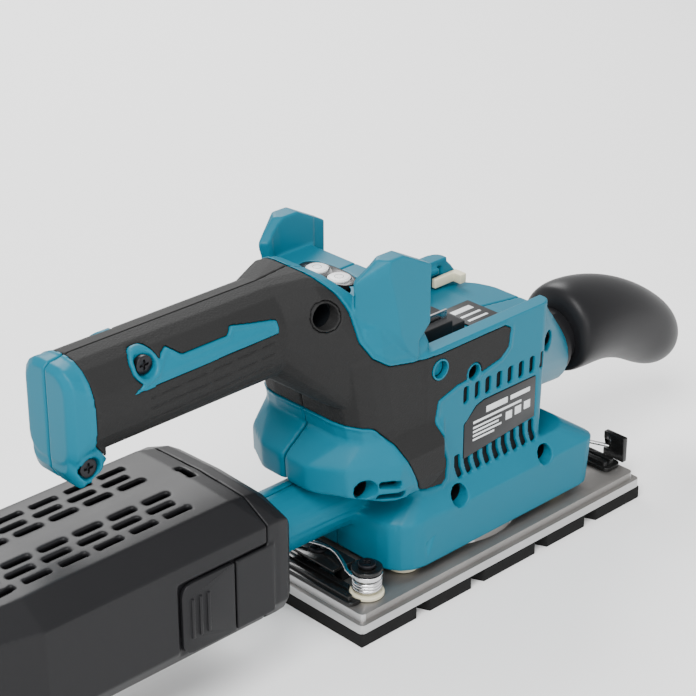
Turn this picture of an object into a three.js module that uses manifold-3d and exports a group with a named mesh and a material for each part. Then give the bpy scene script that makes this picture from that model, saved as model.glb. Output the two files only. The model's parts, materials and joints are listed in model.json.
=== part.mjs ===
// Cordless third-sheet orbital sander with a top battery bay, a rear bar handle, a bent front
// grip and a clip-on dust box.  Millimetres, +Z up, +X towards the front grip, +Y to the left.
// The origin is the centre of the foam pad's underside.
import * as THREE from "three";
import { ConvexGeometry } from "three/addons/geometries/ConvexGeometry.js";
import { mergeVertices } from "three/addons/utils/BufferGeometryUtils.js";
import Module from "manifold-3d";

const wasm = await Module();
wasm.setup();

// ---------------------------------------------------------------- driving dimensions
const GAP = 0.3;                 // between pieces that touch on the real tool
const FIT = 0.3;                 // around a shaft, a screw or a pin in its hole

// sanding pad, sized for a third of a sheet of abrasive
const PAD_LENGTH = 185;
const PAD_WIDTH = 93;
const FOAM_THICKNESS = 6.2;
const PLATE_FLANGE = 4.2;
const PLATE_STEP = 3.6;
const PLATE_STEP_INSET = 2.3;
const PLATE_HUB_R = 38;
const PLATE_HUB_HEIGHT = 3.2;
const NOTCH_DEPTH = 6;
const NOTCH_WIDTH = 7;
const DUST_HOLE_R = 5;

// orbit drive
const ORBIT_DIAMETER = 2.8;
const SHAFT_R = 4;
const PAD_BEARING_R = 14;
const PAD_BEARING_WIDTH = 8;
const CRANK_PIN_R = 5.7;
const COUNTERWEIGHT_R = 25;
const COUNTERWEIGHT_THICKNESS = 7;
const FAN_R = 29;
const FAN_HEIGHT = 9;
const FAN_BLADES = 9;
const STATOR_R = 27;
const STATOR_HEIGHT = 26;
const AIR_GAP = 0.7;
const ROTOR_R = 13;
const LOWER_BEARING_R = 11;
const UPPER_BEARING_R = 9.5;
const BEARING_WIDTH = 7;

// elastic feet between pad and housing
const PILLAR_R = 7.5;
const PILLAR_STEM_R = 4.4;
const PILLAR_HEIGHT = 14;
const PILLAR_EDGE = [43.5, 19];  // from the pad's end and from its side

// housing
const WALL = 3.5;
const SPLIT = 0.15;              // each half stops this far from the middle plane
const BASE_GAP = 4.5;            // clear height between plate top and housing
const BASE_END_MARGIN = 28.5;    // the base block stops this far inside the pad's ends
const BASE_HALF_WIDTH = 41;
const BASE_CREASE_Z = 42;
const COLUMN_HALF_WIDTH = 36;
const COLUMN_REAR = -50;
const COLUMN_FRONT = 33;
const RIM_Z = 120;
const BAY_FLOOR_Z = 106.5;
const BAY_HALF_WIDTH = 28.5;
const BAY_REAR = -50;
const DECK_Z = 152.5;
const SHOULDER_HALF_WIDTH = 35;
const NOSE_X = 70;
const NOSE_Z = 72.5;
const NOSE_R = 17.5;
const REAR_FACE_X = -95;
const PORT_Z = 46;
const PORT_R = 14.5;
const PORT_WALL = 2.6;
const PORT_END = -136;

// rear bar handle
const HANDLE_LENGTH = 118;       // from the shoulder's ring to the end cap
const HANDLE_HALF_WIDTH = 19;
const HANDLE_LOW = 120;
const HANDLE_HIGH = 162;
const HANDLE_ROOT = -96;
const OVERMOULD = 1.6;           // depth of the soft skin in its recess
const BEAD_WIDTH = 1.2;          // raised line that borders the soft skin
const BEAD_HEIGHT = 0.5;
const GROOVES = [140, 135, 130, 125.5];   // heights of the finger grooves

// front grip
const GRIP_NECK_R = 15.5;
const GRIP_R = 22.3;

// control panel
const PANEL_X = -67.8;
const PANEL_HALF_LENGTH = 15.5;
const PANEL_HALF_WIDTH = 7.6;
const PANEL_THICKNESS = 1.8;
const BUTTON_R = 4.9;
const BUTTON_SPACING = 13.4;
const BUTTON_TRAVEL = 0.6;
const BUTTON_PROUD = 0.8;

// paper clamps
const POST_INSET = [16, 13.5];   // post axis from the pad's end and side
const POST_R = 4.2;
const COIL_R = 5.9;
const WIRE_R = 1.05;
const COIL_TURNS = 3;
const CLAMP_BAR_DEPTH = 11;

// dust box
const BOX_HALF_WIDTH = 42;
const BOX_FRONT = -123.5;
const BOX_SEAM = -141;
const BOX_REAR = -284;
const BOX_BOTTOM = 31;
const BOX_CREASE_Z = 79;
const BOX_LID_HALF_WIDTH = 29;
const BOX_TOP = 88;
const BOX_WALL = 2.4;
const SLEEVE_WALL = 2;
const LATCH_LENGTH = 27;
const LATCH_FROM_SEAM = 18;
const LATCH_LOW = 38;
const LATCH_HIGH = 70;

// fasteners
const SCREW_R = 2;
const SCREW_HEAD_R = 3.9;

// ---------------------------------------------------------------- values that follow
const PAD_X = PAD_LENGTH / 2;
const PAD_Y = PAD_WIDTH / 2;
const PLATE_Z = FOAM_THICKNESS + GAP;
const PLATE_TOP = PLATE_Z + PLATE_FLANGE + PLATE_STEP;
const HUB_TOP = PLATE_TOP + PLATE_HUB_HEIGHT;
const BASE_Z = PLATE_TOP + BASE_GAP;
const BASE_FRONT = PAD_X - BASE_END_MARGIN + 2;
const BASE_REAR = -(PAD_X - BASE_END_MARGIN);
const ORBIT_R = ORBIT_DIAMETER / 2;
const PAD_BEARING_Z = PLATE_TOP - 2;
const ECCENTRIC_Z = PAD_BEARING_Z + PAD_BEARING_WIDTH + 1.2;
const WEIGHT_Z = Math.max(ECCENTRIC_Z + 1, HUB_TOP + 6);
const FAN_Z = WEIGHT_Z + COUNTERWEIGHT_THICKNESS + 2;
const LOWER_BEARING_Z = FAN_Z + FAN_HEIGHT + 4;
const STATOR_Z = LOWER_BEARING_Z + BEARING_WIDTH + 5;
const STATOR_TOP = STATOR_Z + STATOR_HEIGHT;
const UPPER_BEARING_Z = STATOR_TOP + 4;
const SHAFT_TOP = UPPER_BEARING_Z + BEARING_WIDTH + 1;
const BEARING_PLATE_R = STATOR_R + 1.5;
const HANDLE_END = HANDLE_ROOT - HANDLE_LENGTH;
const CAP_JOINT = HANDLE_END + 10;
const SHAFT_HOLE_R = SHAFT_R + FIT;
const SEAT_SIDES = 24;           // round pieces and the seats they sit in share their facets

// ---------------------------------------------------------------- solids
function toSolid(geometry) {
  const bare = geometry.clone();
  bare.deleteAttribute("normal");
  bare.deleteAttribute("uv");
  const merged = mergeVertices(bare, 1e-4);
  const triVerts = new Uint32Array(merged.index.array);
  const vertProperties = new Float32Array(merged.attributes.position.array);
  return new wasm.Manifold(new wasm.Mesh({ numProp: 3, vertProperties, triVerts }));
}

function toGeometry(solid) {
  const { vertProperties, triVerts } = solid.getMesh();
  const geometry = new THREE.BufferGeometry();
  geometry.setAttribute("position", new THREE.BufferAttribute(vertProperties, 3));
  geometry.setIndex(new THREE.BufferAttribute(triVerts, 1));
  geometry.computeVertexNormals();
  return geometry;
}

function box(x0, x1, y0, y1, z0, z1) {
  const geometry = new THREE.BoxGeometry(x1 - x0, y1 - y0, z1 - z0);
  geometry.translate((x0 + x1) / 2, (y0 + y1) / 2, (z0 + z1) / 2);
  return toSolid(geometry);
}

// upright cylinder, or a cone frustum when a second radius is given
function cylinder(x, y, z0, z1, r, sides = 24, rTop = r) {
  const geometry = new THREE.CylinderGeometry(rTop, r, z1 - z0, sides);
  geometry.rotateX(Math.PI / 2).translate(x, y, (z0 + z1) / 2);
  return toSolid(geometry);
}

function cylinderX(x0, x1, y, z, r, sides = 24) {
  const geometry = new THREE.CylinderGeometry(r, r, x1 - x0, sides);
  geometry.rotateZ(Math.PI / 2).translate((x0 + x1) / 2, y, z);
  return toSolid(geometry);
}

function cylinderY(x, z, y0, y1, r, sides = 20) {
  const geometry = new THREE.CylinderGeometry(r, r, y1 - y0, sides);
  return toSolid(geometry.translate(x, (y0 + y1) / 2, z));
}

// outline given as [x, z] pairs, standing between two Y planes
function prismY(outline, y0, y1) {
  const shape = new THREE.Shape(outline.map(([x, z]) => new THREE.Vector2(x, z)));
  const geometry = new THREE.ExtrudeGeometry(shape, { depth: y1 - y0, bevelEnabled: false });
  geometry.rotateX(Math.PI / 2).translate(0, y1, 0);
  return toSolid(geometry);
}

// outline given as [x, y] pairs, standing between two heights
function prismZ(outline, z0, z1) {
  const shape = new THREE.Shape(outline.map(([x, y]) => new THREE.Vector2(x, y)));
  const geometry = new THREE.ExtrudeGeometry(shape, { depth: z1 - z0, bevelEnabled: false });
  return toSolid(geometry.translate(0, 0, z0));
}

// points of a rectangle with rounded corners; each corner has its own radius
function roundedRect(u0, u1, v0, v1, radii, steps = 4) {
  const [rLow0, rHigh0, rHigh1, rLow1] = Array.isArray(radii) ? radii : [radii, radii, radii, radii];
  const corners = [
    [u0 + rLow0, v0 + rLow0, rLow0, Math.PI],
    [u1 - rHigh0, v0 + rHigh0, rHigh0, 1.5 * Math.PI],
    [u1 - rHigh1, v1 - rHigh1, rHigh1, 0],
    [u0 + rLow1, v1 - rLow1, rLow1, 0.5 * Math.PI],
  ];
  return corners.flatMap(([cu, cv, r, start]) =>
    Array.from({ length: steps + 1 }, (_, i) => {
      const a = start + (i / steps) * (Math.PI / 2);
      return [cu + r * Math.cos(a), cv + r * Math.sin(a)];
    }));
}

// rounded rectangle lying at a height: symmetric about the middle plane
function plan(z, x0, x1, halfY, rRear, rFront, steps = 4) {
  const radii = [rRear, rFront, rFront, rRear];
  return roundedRect(x0, x1, -halfY, halfY, radii, steps).map(([x, y]) => new THREE.Vector3(x, y, z));
}

// rounded rectangle standing across the tool at a station
function station(x, halfY, z0, z1, rLow, rHigh, steps = 5) {
  const radii = [rLow, rLow, rHigh, rHigh];
  return roundedRect(-halfY, halfY, z0, z1, radii, steps).map(([y, z]) => new THREE.Vector3(x, y, z));
}

function hull(...rings) {
  return toSolid(new ConvexGeometry(rings.flat()));
}

// closed skin through rings of equal point counts
function loft(rings) {
  const count = rings[0].length;
  const points = rings.flat();
  const first = points.push(centre(rings[0])) - 1;
  const last = points.push(centre(rings[rings.length - 1])) - 1;
  const index = [];
  rings.slice(1).forEach((_, k) => {
    for (let i = 0; i < count; i++) {
      const j = (i + 1) % count;
      const [a, b, c, d] = [k * count + i, k * count + j, (k + 1) * count + j, (k + 1) * count + i];
      index.push(a, b, c, a, c, d);
    }
  });
  const tail = (rings.length - 1) * count;
  for (let i = 0; i < count; i++) {
    const j = (i + 1) % count;
    index.push(first, j, i, last, tail + i, tail + j);
  }
  const geometry = new THREE.BufferGeometry().setFromPoints(points);
  geometry.setIndex(index);
  const solid = toSolid(geometry);
  if (solid.volume() > 0) return solid;
  const flipped = index.map((_, i) => index[i - (i % 3) + (2 - (i % 3))]);
  geometry.setIndex(flipped);
  return toSolid(geometry);
}

function centre(ring) {
  return ring.reduce((sum, p) => sum.add(p), new THREE.Vector3()).divideScalar(ring.length);
}

// round wire along a list of points
function wire(points, r, sides = 8, steps = 24) {
  const curve = new THREE.CatmullRomCurve3(points, false, "centripetal");
  const circle = new THREE.Shape().absarc(0, 0, r, 0, 2 * Math.PI);
  const section = new THREE.Shape(circle.getSpacedPoints(sides).slice(0, sides));
  const options = { steps, bevelEnabled: false, extrudePath: curve };
  return toSolid(new THREE.ExtrudeGeometry(section, options));
}

// one solid from several, with faces that lie in one plane merged
const union = (...solids) => solids.reduce((sum, next) => sum.add(next)).asOriginal();
const HUGE = 400;
const sideHalf = (side) => (side < 0 ? box(-HUGE, HUGE, -HUGE, -SPLIT, -HUGE, HUGE)
  : box(-HUGE, HUGE, SPLIT, HUGE, -HUGE, HUGE));

// ---------------------------------------------------------------- outer form of the body
// Each part of the form takes an inset, so that the same form gives the skin and the cavity.
// Corners that nobody sees are cut in fewer steps.
const corner = (d) => (d > 1 ? 2 : 4);

function baseBlock(d) {
  const rear = BASE_REAR + d;
  const front = BASE_FRONT - d;
  const half = BASE_HALF_WIDTH - d;
  const lower = plan(BASE_Z, rear + 1, front - 1, half - 0.8, 15 - d, 9, corner(d));
  const crease = plan(BASE_CREASE_Z - 0.4 * d, rear, front, half, 15 - d, 8, corner(d));
  const shelf = plan(52 - d, COLUMN_REAR + d, front - 14, COLUMN_HALF_WIDTH - d, 8, 12, corner(d));
  return hull(lower, crease, shelf);
}

function column(d) {
  const half = COLUMN_HALF_WIDTH - d;
  return hull(
    plan(40 + d, COLUMN_REAR + d, COLUMN_FRONT - d, half, 6, 7 - 0.6 * d, corner(d)),
    plan(RIM_Z - d, COLUMN_REAR + d, COLUMN_FRONT + 1.5 - d, half, 6, 5 - 0.4 * d, corner(d)));
}

// the front of the body closes into a round nose that carries the front grip
function nose(d) {
  const rear = station(COLUMN_FRONT - 12, COLUMN_HALF_WIDTH - d, 76 + d, RIM_Z - d, 8, 3, 2);
  const rimHalf = COLUMN_HALF_WIDTH - 2.5 - d;
  const rim = station(COLUMN_FRONT - d, rimHalf, 75 + d, RIM_Z - 1 - d, 12, 3, corner(d));
  const mouth = Array.from({ length: 24 }, (_, i) => {
    const a = (i / 24) * 2 * Math.PI;
    const r = NOSE_R - d;
    return new THREE.Vector3(NOSE_X, r * Math.cos(a), NOSE_Z + r * Math.sin(a));
  });
  return hull(rear, rim, mouth);
}

// housing of the electronics, leaning out behind the column over the rear clamp
function rearBlock(d) {
  const lowest = plan(58 + d, -72 + d, COLUMN_REAR + 10, COLUMN_HALF_WIDTH + 3 - d, 12, 4, corner(d));
  const faceted = (z, x, half, corner) => [
    [x, half * 0.46], [x + 9, half], [corner, BASE_HALF_WIDTH - d], [COLUMN_REAR + 12, BASE_HALF_WIDTH - d]]
    .flatMap(([px, py]) => [new THREE.Vector3(px, py, z), new THREE.Vector3(px, -py, z)]);
  const low = faceted(64 + d, REAR_FACE_X + 1 + d, 30 - d, -66 + d);
  const high = faceted(76.5 - 0.5 * d, REAR_FACE_X + d, 29.5 - d, -64 + d);
  const lip = plan(89 - d, -79 + d, COLUMN_REAR + 20, COLUMN_HALF_WIDTH - 1 - d, 15 - d, 4, corner(d));
  return hull(lowest, low, high, lip);
}

function shoulderRoot(d) {
  return hull(
    plan(80 + d, -80 + d, COLUMN_REAR + 12, COLUMN_HALF_WIDTH - 0.4 - d, 17 - d, 5, corner(d)),
    plan(96, -81 + d, COLUMN_REAR + 12, COLUMN_HALF_WIDTH - 0.2 - d, 17 - d, 5, corner(d)),
    plan(124, -88 + d, COLUMN_REAR + 10, SHOULDER_HALF_WIDTH - d, 19 - d, 5, corner(d)),
    plan(140 - d, -86 + d, COLUMN_REAR + 4 - d, SHOULDER_HALF_WIDTH - 3 - d, 17 - d, 6, corner(d)));
}

function shoulder(d) {
  const ring = handleRing(HANDLE_ROOT - 12, d);
  return hull(
    ring,
    station(HANDLE_ROOT + 4, 25 - d, 112 + d, HANDLE_HIGH + 1.5 - d, 13, 17 - d, corner(d) + 1),
    plan(104 + d, -86 + d, COLUMN_REAR - 10, 30 - d, 14, 4, corner(d)),
    plan(130, -88 + d, COLUMN_REAR - 4, SHOULDER_HALF_WIDTH - 1 - d, 19 - d, 4, corner(d)),
    plan(DECK_Z - 1.5 - d, -82 + d, COLUMN_REAR - 3 - d, 28 - d, 14 - d, 5, corner(d)));
}

function handleRing(x, d) {
  const half = HANDLE_HALF_WIDTH - d;
  const [low, high] = [HANDLE_LOW + d, HANDLE_HIGH - d];
  return station(x, half, low, high, half - 1.5, half - 0.5, corner(d) + 1);
}

// bar handle with its flared tail, which drops into a boss at the lower end
function handle(d) {
  const bar = hull(handleRing(HANDLE_ROOT - 8, d), handleRing(CAP_JOINT + 2, d));
  const tail = hull(
    handleRing(CAP_JOINT + 2, d),
    station(HANDLE_END + 3, 15.5 - d, 119 + d, HANDLE_HIGH - 1 - d, 8, 10 - d, corner(d)),
    station(HANDLE_END + 0.6 + d, 12 - d, 121 + d, HANDLE_HIGH - 3 - d, 7, 8 - d, corner(d)));
  const boss = hull(
    station(HANDLE_END + 14, 15.5 - d, 114 + d, 132, 5, 5, 3),
    station(HANDLE_END + 17, 14 - d, 118 + d, 132, 4, 4, 3),
    station(HANDLE_END + 5, 15.5 - d, 110.5 + d, 132, 4, 5, 3),
    station(HANDLE_END + 1 + d, 11 - d, 117 + d, 132, 4, 5, 3));
  return union(bar, tail, boss);
}

// raised guards each side of the battery's rear end
function ear(side) {
  const y = side * COLUMN_HALF_WIDTH;
  const inner = side * (BAY_HALF_WIDTH - 0.5);
  const level = (z, xRear, xFront, lean) => [
    new THREE.Vector3(xFront, y, z),
    new THREE.Vector3((xRear + xFront) / 2 - 2, y, z),
    new THREE.Vector3(xRear, y - side * (8 - lean), z),
    new THREE.Vector3(xRear + 3, inner - side * (3 - lean), z),
    new THREE.Vector3(xFront, inner, z)];
  const foot = hull(level(RIM_Z + 0.5, -54, -44, 0), level(RIM_Z + 7, -66, -44, 0), level(134, -74, -43, 0));
  const lower = hull(level(RIM_Z + 0.5, -54, -44, 3), level(134, -74, -43, 0), level(148, -79, -43, 0));
  const upper = hull(level(148, -79, -43, 0), level(161, -81, -43, 1),
    level(169.5, -70, -59, 3), level(164, -77, -54, 2));
  const nick = prismY([[-40, 134], [-43.4, 134], [-49.5, 128], [-49.5, RIM_Z], [-40, RIM_Z]],
    Math.min(y, inner) - 5, Math.max(y, inner) + 5);
  return union(foot, lower, upper).subtract(nick);
}

function dustPort(r) {
  return cylinderX(PORT_END, BASE_REAR + 12, 0, PORT_Z, r, 24);
}

function outerForm(d) {
  return union(baseBlock(d), column(d), nose(d), rearBlock(d), shoulderRoot(d), shoulder(d), handle(d));
}

// ---------------------------------------------------------------- soft overmould
// Side outline of the soft skin over shoulder and column: the tongue, the front strip under
// the battery rim, and the line round the ear and the control deck.
const SHOULDER_SKIN = [
  [-120, 100], [-90, 96], [-79, 94.5], [-73, 93.5], [-64, 84], [-52, 60], [-48, 55.5], [-43, 54],
  [-34, 53], [-31.5, 55], [-31, 64], [-39, 85], [-37, 95], [-25, 98.5], [-10, 99.5], [2, 102],
  [7, 106], [8, 115], [4, 117.5], [-10, 117.5], [-36, 117.3], [-52, 118.5], [-66, 121.5], [-74, 127],
  [-79, 135], [-81, 148], [-84.5, 156], [-90, 163], [-94, 172], [-120, 172]];
const INLAY = [
  [-186, 145], [-112, 146.4], [-112, 151.5], [-134, 155.2], [-137, 152.6], [-160, 152.4],
  [-165.5, 156.6], [-169, 155], [-174, 149.5]];

function skinRegion(grow) {
  const side = prismY(growOutline(SHOULDER_SKIN, grow), -HUGE, HUGE);
  const bar = box(CAP_JOINT - grow, HANDLE_ROOT - 12, -HUGE, HUGE, 100, 180);
  const cap = prismY([[CAP_JOINT - 1, 100], [CAP_JOINT + 12 - grow, 100], [CAP_JOINT + 8 - grow, 119],
    [CAP_JOINT + 1 - grow, 128], [CAP_JOINT - 1, 130]], -HUGE, HUGE);
  const inlays = union(inlay(-1, grow), inlay(1, grow));
  const bosses = [-1, 1].map((side2) => cylinderY(-177.5, 153.5, side2 < 0 ? -60 : 8, side2 < 0 ? -8 : 60,
    6.6 - grow, 20));
  return union(side, bar).subtract(union(cap, inlays, ...bosses));
}

function inlay(side, grow) {
  const outline = growOutline(INLAY, -grow);
  return prismY(outline, side < 0 ? -60 : 8, side < 0 ? -8 : 60);
}

// moves every point of a closed outline outwards by a distance
function growOutline(outline, distance) {
  if (distance === 0) return outline;
  const turn = Math.sign(THREE.ShapeUtils.area(outline.map(([x, y]) => new THREE.Vector2(x, y))));
  return outline.map(([x, y], i) => {
    const [px, py] = outline[(i + outline.length - 1) % outline.length];
    const [nx, ny] = outline[(i + 1) % outline.length];
    const a = new THREE.Vector2(y - py, px - x).normalize();
    const b = new THREE.Vector2(ny - y, x - nx).normalize();
    const m = a.add(b).normalize().multiplyScalar(turn * distance);
    return [x + m.x, y + m.y];
  });
}

// deep screw wells on the body's sides: place, radius, and where the floor is from the middle;
// a rim stands up through the soft skin round each, save a bare one
const SIDE_WELLS = [
  { x: -36.5, z: 110, r: 4.6, floor: COLUMN_HALF_WIDTH - 5, bare: true },
  { x: -15, z: 101, r: 3.6, floor: COLUMN_HALF_WIDTH - 6 },
  { x: -78, z: 66.5, r: 4.4, floor: BASE_HALF_WIDTH - 16 },
  { x: -25.6, z: 45.2, r: 5, floor: BASE_HALF_WIDTH - 16 },
  { x: 30.3, z: 44.5, r: 4.6, floor: BASE_HALF_WIDTH - 16 },
  { x: 38.5, z: 96.5, r: 4.2, floor: COLUMN_HALF_WIDTH - 16 },
  { x: -91.5, z: 148.5, r: 5.6, floor: 12 },
];
const WELL_WALL = 1.8;
const WELL_RING = 0.9;

const RIMMED_WELLS = SIDE_WELLS.filter(({ bare }) => !bare);

function wells(extra = 0, which = SIDE_WELLS) {
  return union(...which.flatMap(({ x, z, r, floor }) =>
    [-1, 1].map((side) => sideBore(side, x, z, floor, r + extra))));
}

// tubes that line the wells and carry the screws between the two halves
function screwBosses(form) {
  const liners = SIDE_WELLS.flatMap(({ x, z, r, floor }) =>
    [-1, 1].map((side) => sideBore(side, x, z, floor - WELL_WALL, r + WELL_WALL, 8)));
  const posts = SCREWS.map(({ x, z }) => cylinderY(x, z, -60, 60, SCREW_HEAD_R + 2.4, 8));
  return union(...liners, ...posts).intersect(form);
}

function sideBore(side, x, z, from, r, sides = 12) {
  return side < 0 ? cylinderY(x, z, -60, -from, r, sides) : cylinderY(x, z, from, 60, r, sides);
}

// ---------------------------------------------------------------- housing halves
function motorSupports(form) {
  const slabs = [
    [LOWER_BEARING_Z + 1, LOWER_BEARING_Z + BEARING_WIDTH, BEARING_PLATE_R + GAP],
    [STATOR_TOP - 8, STATOR_TOP - 4, STATOR_R + GAP],
    [UPPER_BEARING_Z + 1, UPPER_BEARING_Z + BEARING_WIDTH - 1, UPPER_BEARING_R + GAP]];
  const rings = slabs.map(([z0, z1, r]) =>
    box(-45, 30, -60, 60, z0, z1).subtract(cylinder(0, 0, z0 - 1, z1 + 1, r, SEAT_SIDES)));
  return union(...rings).intersect(form);
}

function ventSlots(side) {
  const [y0, y1] = side < 0 ? [-60, -20] : [20, 60];
  const upper = Array.from({ length: 8 }, (_, i) => {
    const x = -21.5 + i * 7.1;
    return box(x, x + 3.4, y0, y1, 87.6, 95.8);
  });
  const lower = Array.from({ length: 9 }, (_, i) => {
    const x = -26.5 + i * 6;
    return prismY([[x, 64], [x + 3.5, 64], [x + 4.3, 57], [x + 6.7, 51.5], [x + 3.2, 51.5], [x + 0.8, 57]],
      y0, y1);
  });
  const rear = [0, 1].map((i) => prismY([[-73, 69.5 - 6 * i], [-64 + 3 * i, 68.8 - 6 * i],
    [-63 + 3 * i, 65.2 - 6 * i], [-73, 66.4 - 6 * i]], y0, y1));
  return union(...upper, ...lower, ...rear);
}

function labelRecess(side, depth, grow) {
  const edge = [[-20.5, 60.5], [25.5, 65], [25.5, 85.3], [-8, 85.3], [-13, 84], [-20.5, 77]];
  const outline = growOutline(edge, grow);
  const y = COLUMN_HALF_WIDTH;
  return side < 0 ? prismY(outline, -y - 1, -y + depth) : prismY(outline, y - depth, y + 1);
}

function batteryBay() {
  const well = box(BAY_REAR, 90, -BAY_HALF_WIDTH, BAY_HALF_WIDTH, BAY_FLOOR_Z, 200);
  const slope = [[30, BAY_FLOOR_Z - 0.1], [60, BAY_FLOOR_Z - 4], [60, 130], [30, 130]];
  const mouth = prismY(slope, -BAY_HALF_WIDTH, BAY_HALF_WIDTH);
  return union(well, mouth);
}

function bayRails() {
  return union(...[-1, 1].map((side) => {
    const y = side * BAY_HALF_WIDTH;
    const inner = y - side * 2.6;
    return box(-38, COLUMN_FRONT - 6, Math.min(y + side, inner), Math.max(y + side, inner),
      RIM_Z - 5.5, RIM_Z - 2.5);
  }));
}

function panelOval(z0, z1, grow) {
  const points = Array.from({ length: 32 }, (_, i) => {
    const a = (i / 32) * 2 * Math.PI;
    return [PANEL_X + (PANEL_HALF_WIDTH + grow) * Math.cos(a) * (1 - 0.1 * Math.cos(a) ** 2),
      (PANEL_HALF_LENGTH + grow) * Math.sin(a)];
  });
  return prismZ(points, z0, z1);
}

function controlDeck() {
  return hull(
    plan(120, -80, COLUMN_REAR - 0.2, 30, 12, 4),
    plan(DECK_Z - 1, -80.5, COLUMN_REAR - 1, 29.5, 13, 3),
    plan(DECK_Z, -79.5, COLUMN_REAR - 2, 28.5, 12, 2));
}

// the deck lies a little below the soft shoulder and the guards that stand round it
function deckPocket(grow = 0) {
  return hull(plan(DECK_Z, -80.3 - grow, 0, 27.8, 12, 1), plan(DECK_Z + 18, -84 - grow, 0, 27.8, 13, 1));
}

function gripSocket() {
  return cylinderX(NOSE_X - 18, NOSE_X + 5, 0, NOSE_Z, GRIP_NECK_R - 3 + GAP, 24);
}

function housing() {
  const cavity = outerForm(WALL);
  const mouth = baseBlock(WALL).intersect(box(-HUGE, HUGE, -HUGE, HUGE, 0, BASE_Z + WALL + 1));
  const opening = mouth.translate([0, 0, -WALL - 2]);
  const skinBed = outerForm(-2).subtract(outerForm(OVERMOULD)).intersect(skinRegion(0));
  const bayHalf = BAY_HALF_WIDTH + 1;
  const floor = box(BAY_REAR - WALL, 58, -bayHalf, bayHalf, BAY_FLOOR_Z - WALL, BAY_FLOOR_Z);
  const rearWall = box(BAY_REAR - WALL, BAY_REAR, -bayHalf, bayHalf, BAY_FLOOR_Z - 1, DECK_Z - 6);
  const bead = outerForm(-BEAD_HEIGHT).subtract(outerForm(1)).intersect(skinRegion(BEAD_WIDTH))
    .subtract(skinRegion(0));
  let shell = union(outerForm(0).subtract(skinBed.subtract(wells(WELL_RING, RIMMED_WELLS))), bead);
  shell = union(shell, controlDeck(), ear(-1), ear(1)).subtract(deckPocket());
  shell = union(shell, dustPort(PORT_R));
  shell = shell.subtract(union(cavity, opening));
  const inside = outerForm(WALL - 0.5);
  const bay = union(floor, rearWall).intersect(inside);
  shell = union(shell, bay, motorSupports(inside), screwBosses(inside));
  const duct = dustPort(PORT_R - PORT_WALL).translate([-1, 0, 0]);
  shell = shell.subtract(union(batteryBay(), duct, gripSocket()));
  shell = union(shell, bayRails());
  shell = shell.subtract(union(panelOval(DECK_Z - PANEL_THICKNESS - 0.4, DECK_Z + 5, GAP),
    switchWell(), wells(), screwHoles()));
  shell = shell.subtract(union(ventSlots(-1), ventSlots(1), labelRecess(-1, 0.9 + GAP, GAP)));
  return [-1, 1].map((side) => shell.intersect(sideHalf(side)));
}

// clear room under the buttons down to the switch board
function switchWell() {
  const half = PANEL_HALF_LENGTH - 2.5;
  return box(PANEL_X - 6, PANEL_X + 6, -half, half, DECK_Z - 14, DECK_Z);
}

function overmould() {
  const skin = outerForm(0).subtract(outerForm(OVERMOULD - GAP)).intersect(skinRegion(-GAP));
  const ears = [earClearance(-1), earClearance(1)];
  const clear = union(controlDeckClearance(), ...ears, batteryBay(), deckPocket(GAP));
  const bores = union(wells(WELL_RING + GAP, RIMMED_WELLS), wells(GAP));
  const trimmed = skin.subtract(union(clear, bores, gripGrooves()));
  return [-1, 1].map((side) => largest(trimmed.intersect(sideHalf(side))));
}

// shallow finger grooves along the lower half of the bar handle
function gripGrooves() {
  const strip = (z) => [[-178, z], [-114, z + 2.5], [-114, z + 3.7], [-178, z + 1.2]];
  const strips = GROOVES.map((z) => prismY(strip(z), -60, 60));
  return union(...strips).subtract(handle(0.7));
}

function controlDeckClearance() {
  return hull(plan(118, -80 - GAP, 0, 30 + GAP, 12, 1), plan(DECK_Z + 3, -80.8 - GAP, 0, 29.8 + GAP, 13, 1));
}

function earClearance(side) {
  const solid = ear(side);
  const out = side * GAP;
  const moves = [[-GAP, 0, 0], [0, out, -GAP], [0, 0, -GAP], [-GAP, out, 0]];
  return union(...moves.map((move) => solid.translate(move)));
}

// the skin is one piece; slivers that a cut leaves behind are dropped
function largest(solid) {
  return solid.decompose().sort((a, b) => b.volume() - a.volume())[0];
}

// ---------------------------------------------------------------- screws
// side: which half the head sits in; the shank runs towards the middle plane
const SCREWS = [
  { name: "screw_handle", x: -177.5, z: 153.5, head: 12.5 },
  { name: "screw_tail", x: HANDLE_END + 8.5, z: 119, head: 11.5 },
  { name: "screw_shoulder", x: -91.5, z: 148.5, head: 11 },
  { name: "screw_rear", x: -78, z: 66.5, head: BASE_HALF_WIDTH - 19 },
  { name: "screw_front", x: 38.5, z: 96.5, head: COLUMN_HALF_WIDTH - 19 },
];
const HEAD_HEIGHT = 2.4;

function screwSolid({ x, z, head }) {
  const shank = cylinderY(x, z, -head, 4, SCREW_R, 8);
  const cap = cylinderY(x, z, -head - HEAD_HEIGHT, -head, SCREW_HEAD_R, 16);
  const cross = union(box(x - 2.2, x + 2.2, -head - 3, -head - 1.1, z - 0.5, z + 0.5),
    box(x - 0.5, x + 0.5, -head - 3, -head - 1.1, z - 2.2, z + 2.2));
  return union(cap, shank).subtract(cross);
}

function screwHoles() {
  return union(...SCREWS.map(({ x, z, head }) => union(
    cylinderY(x, z, -60, -head + GAP, SCREW_HEAD_R + 0.9, 12),
    cylinderY(x, z, -head - 1, 4 + GAP, SCREW_R + FIT, 8))));
}

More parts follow.
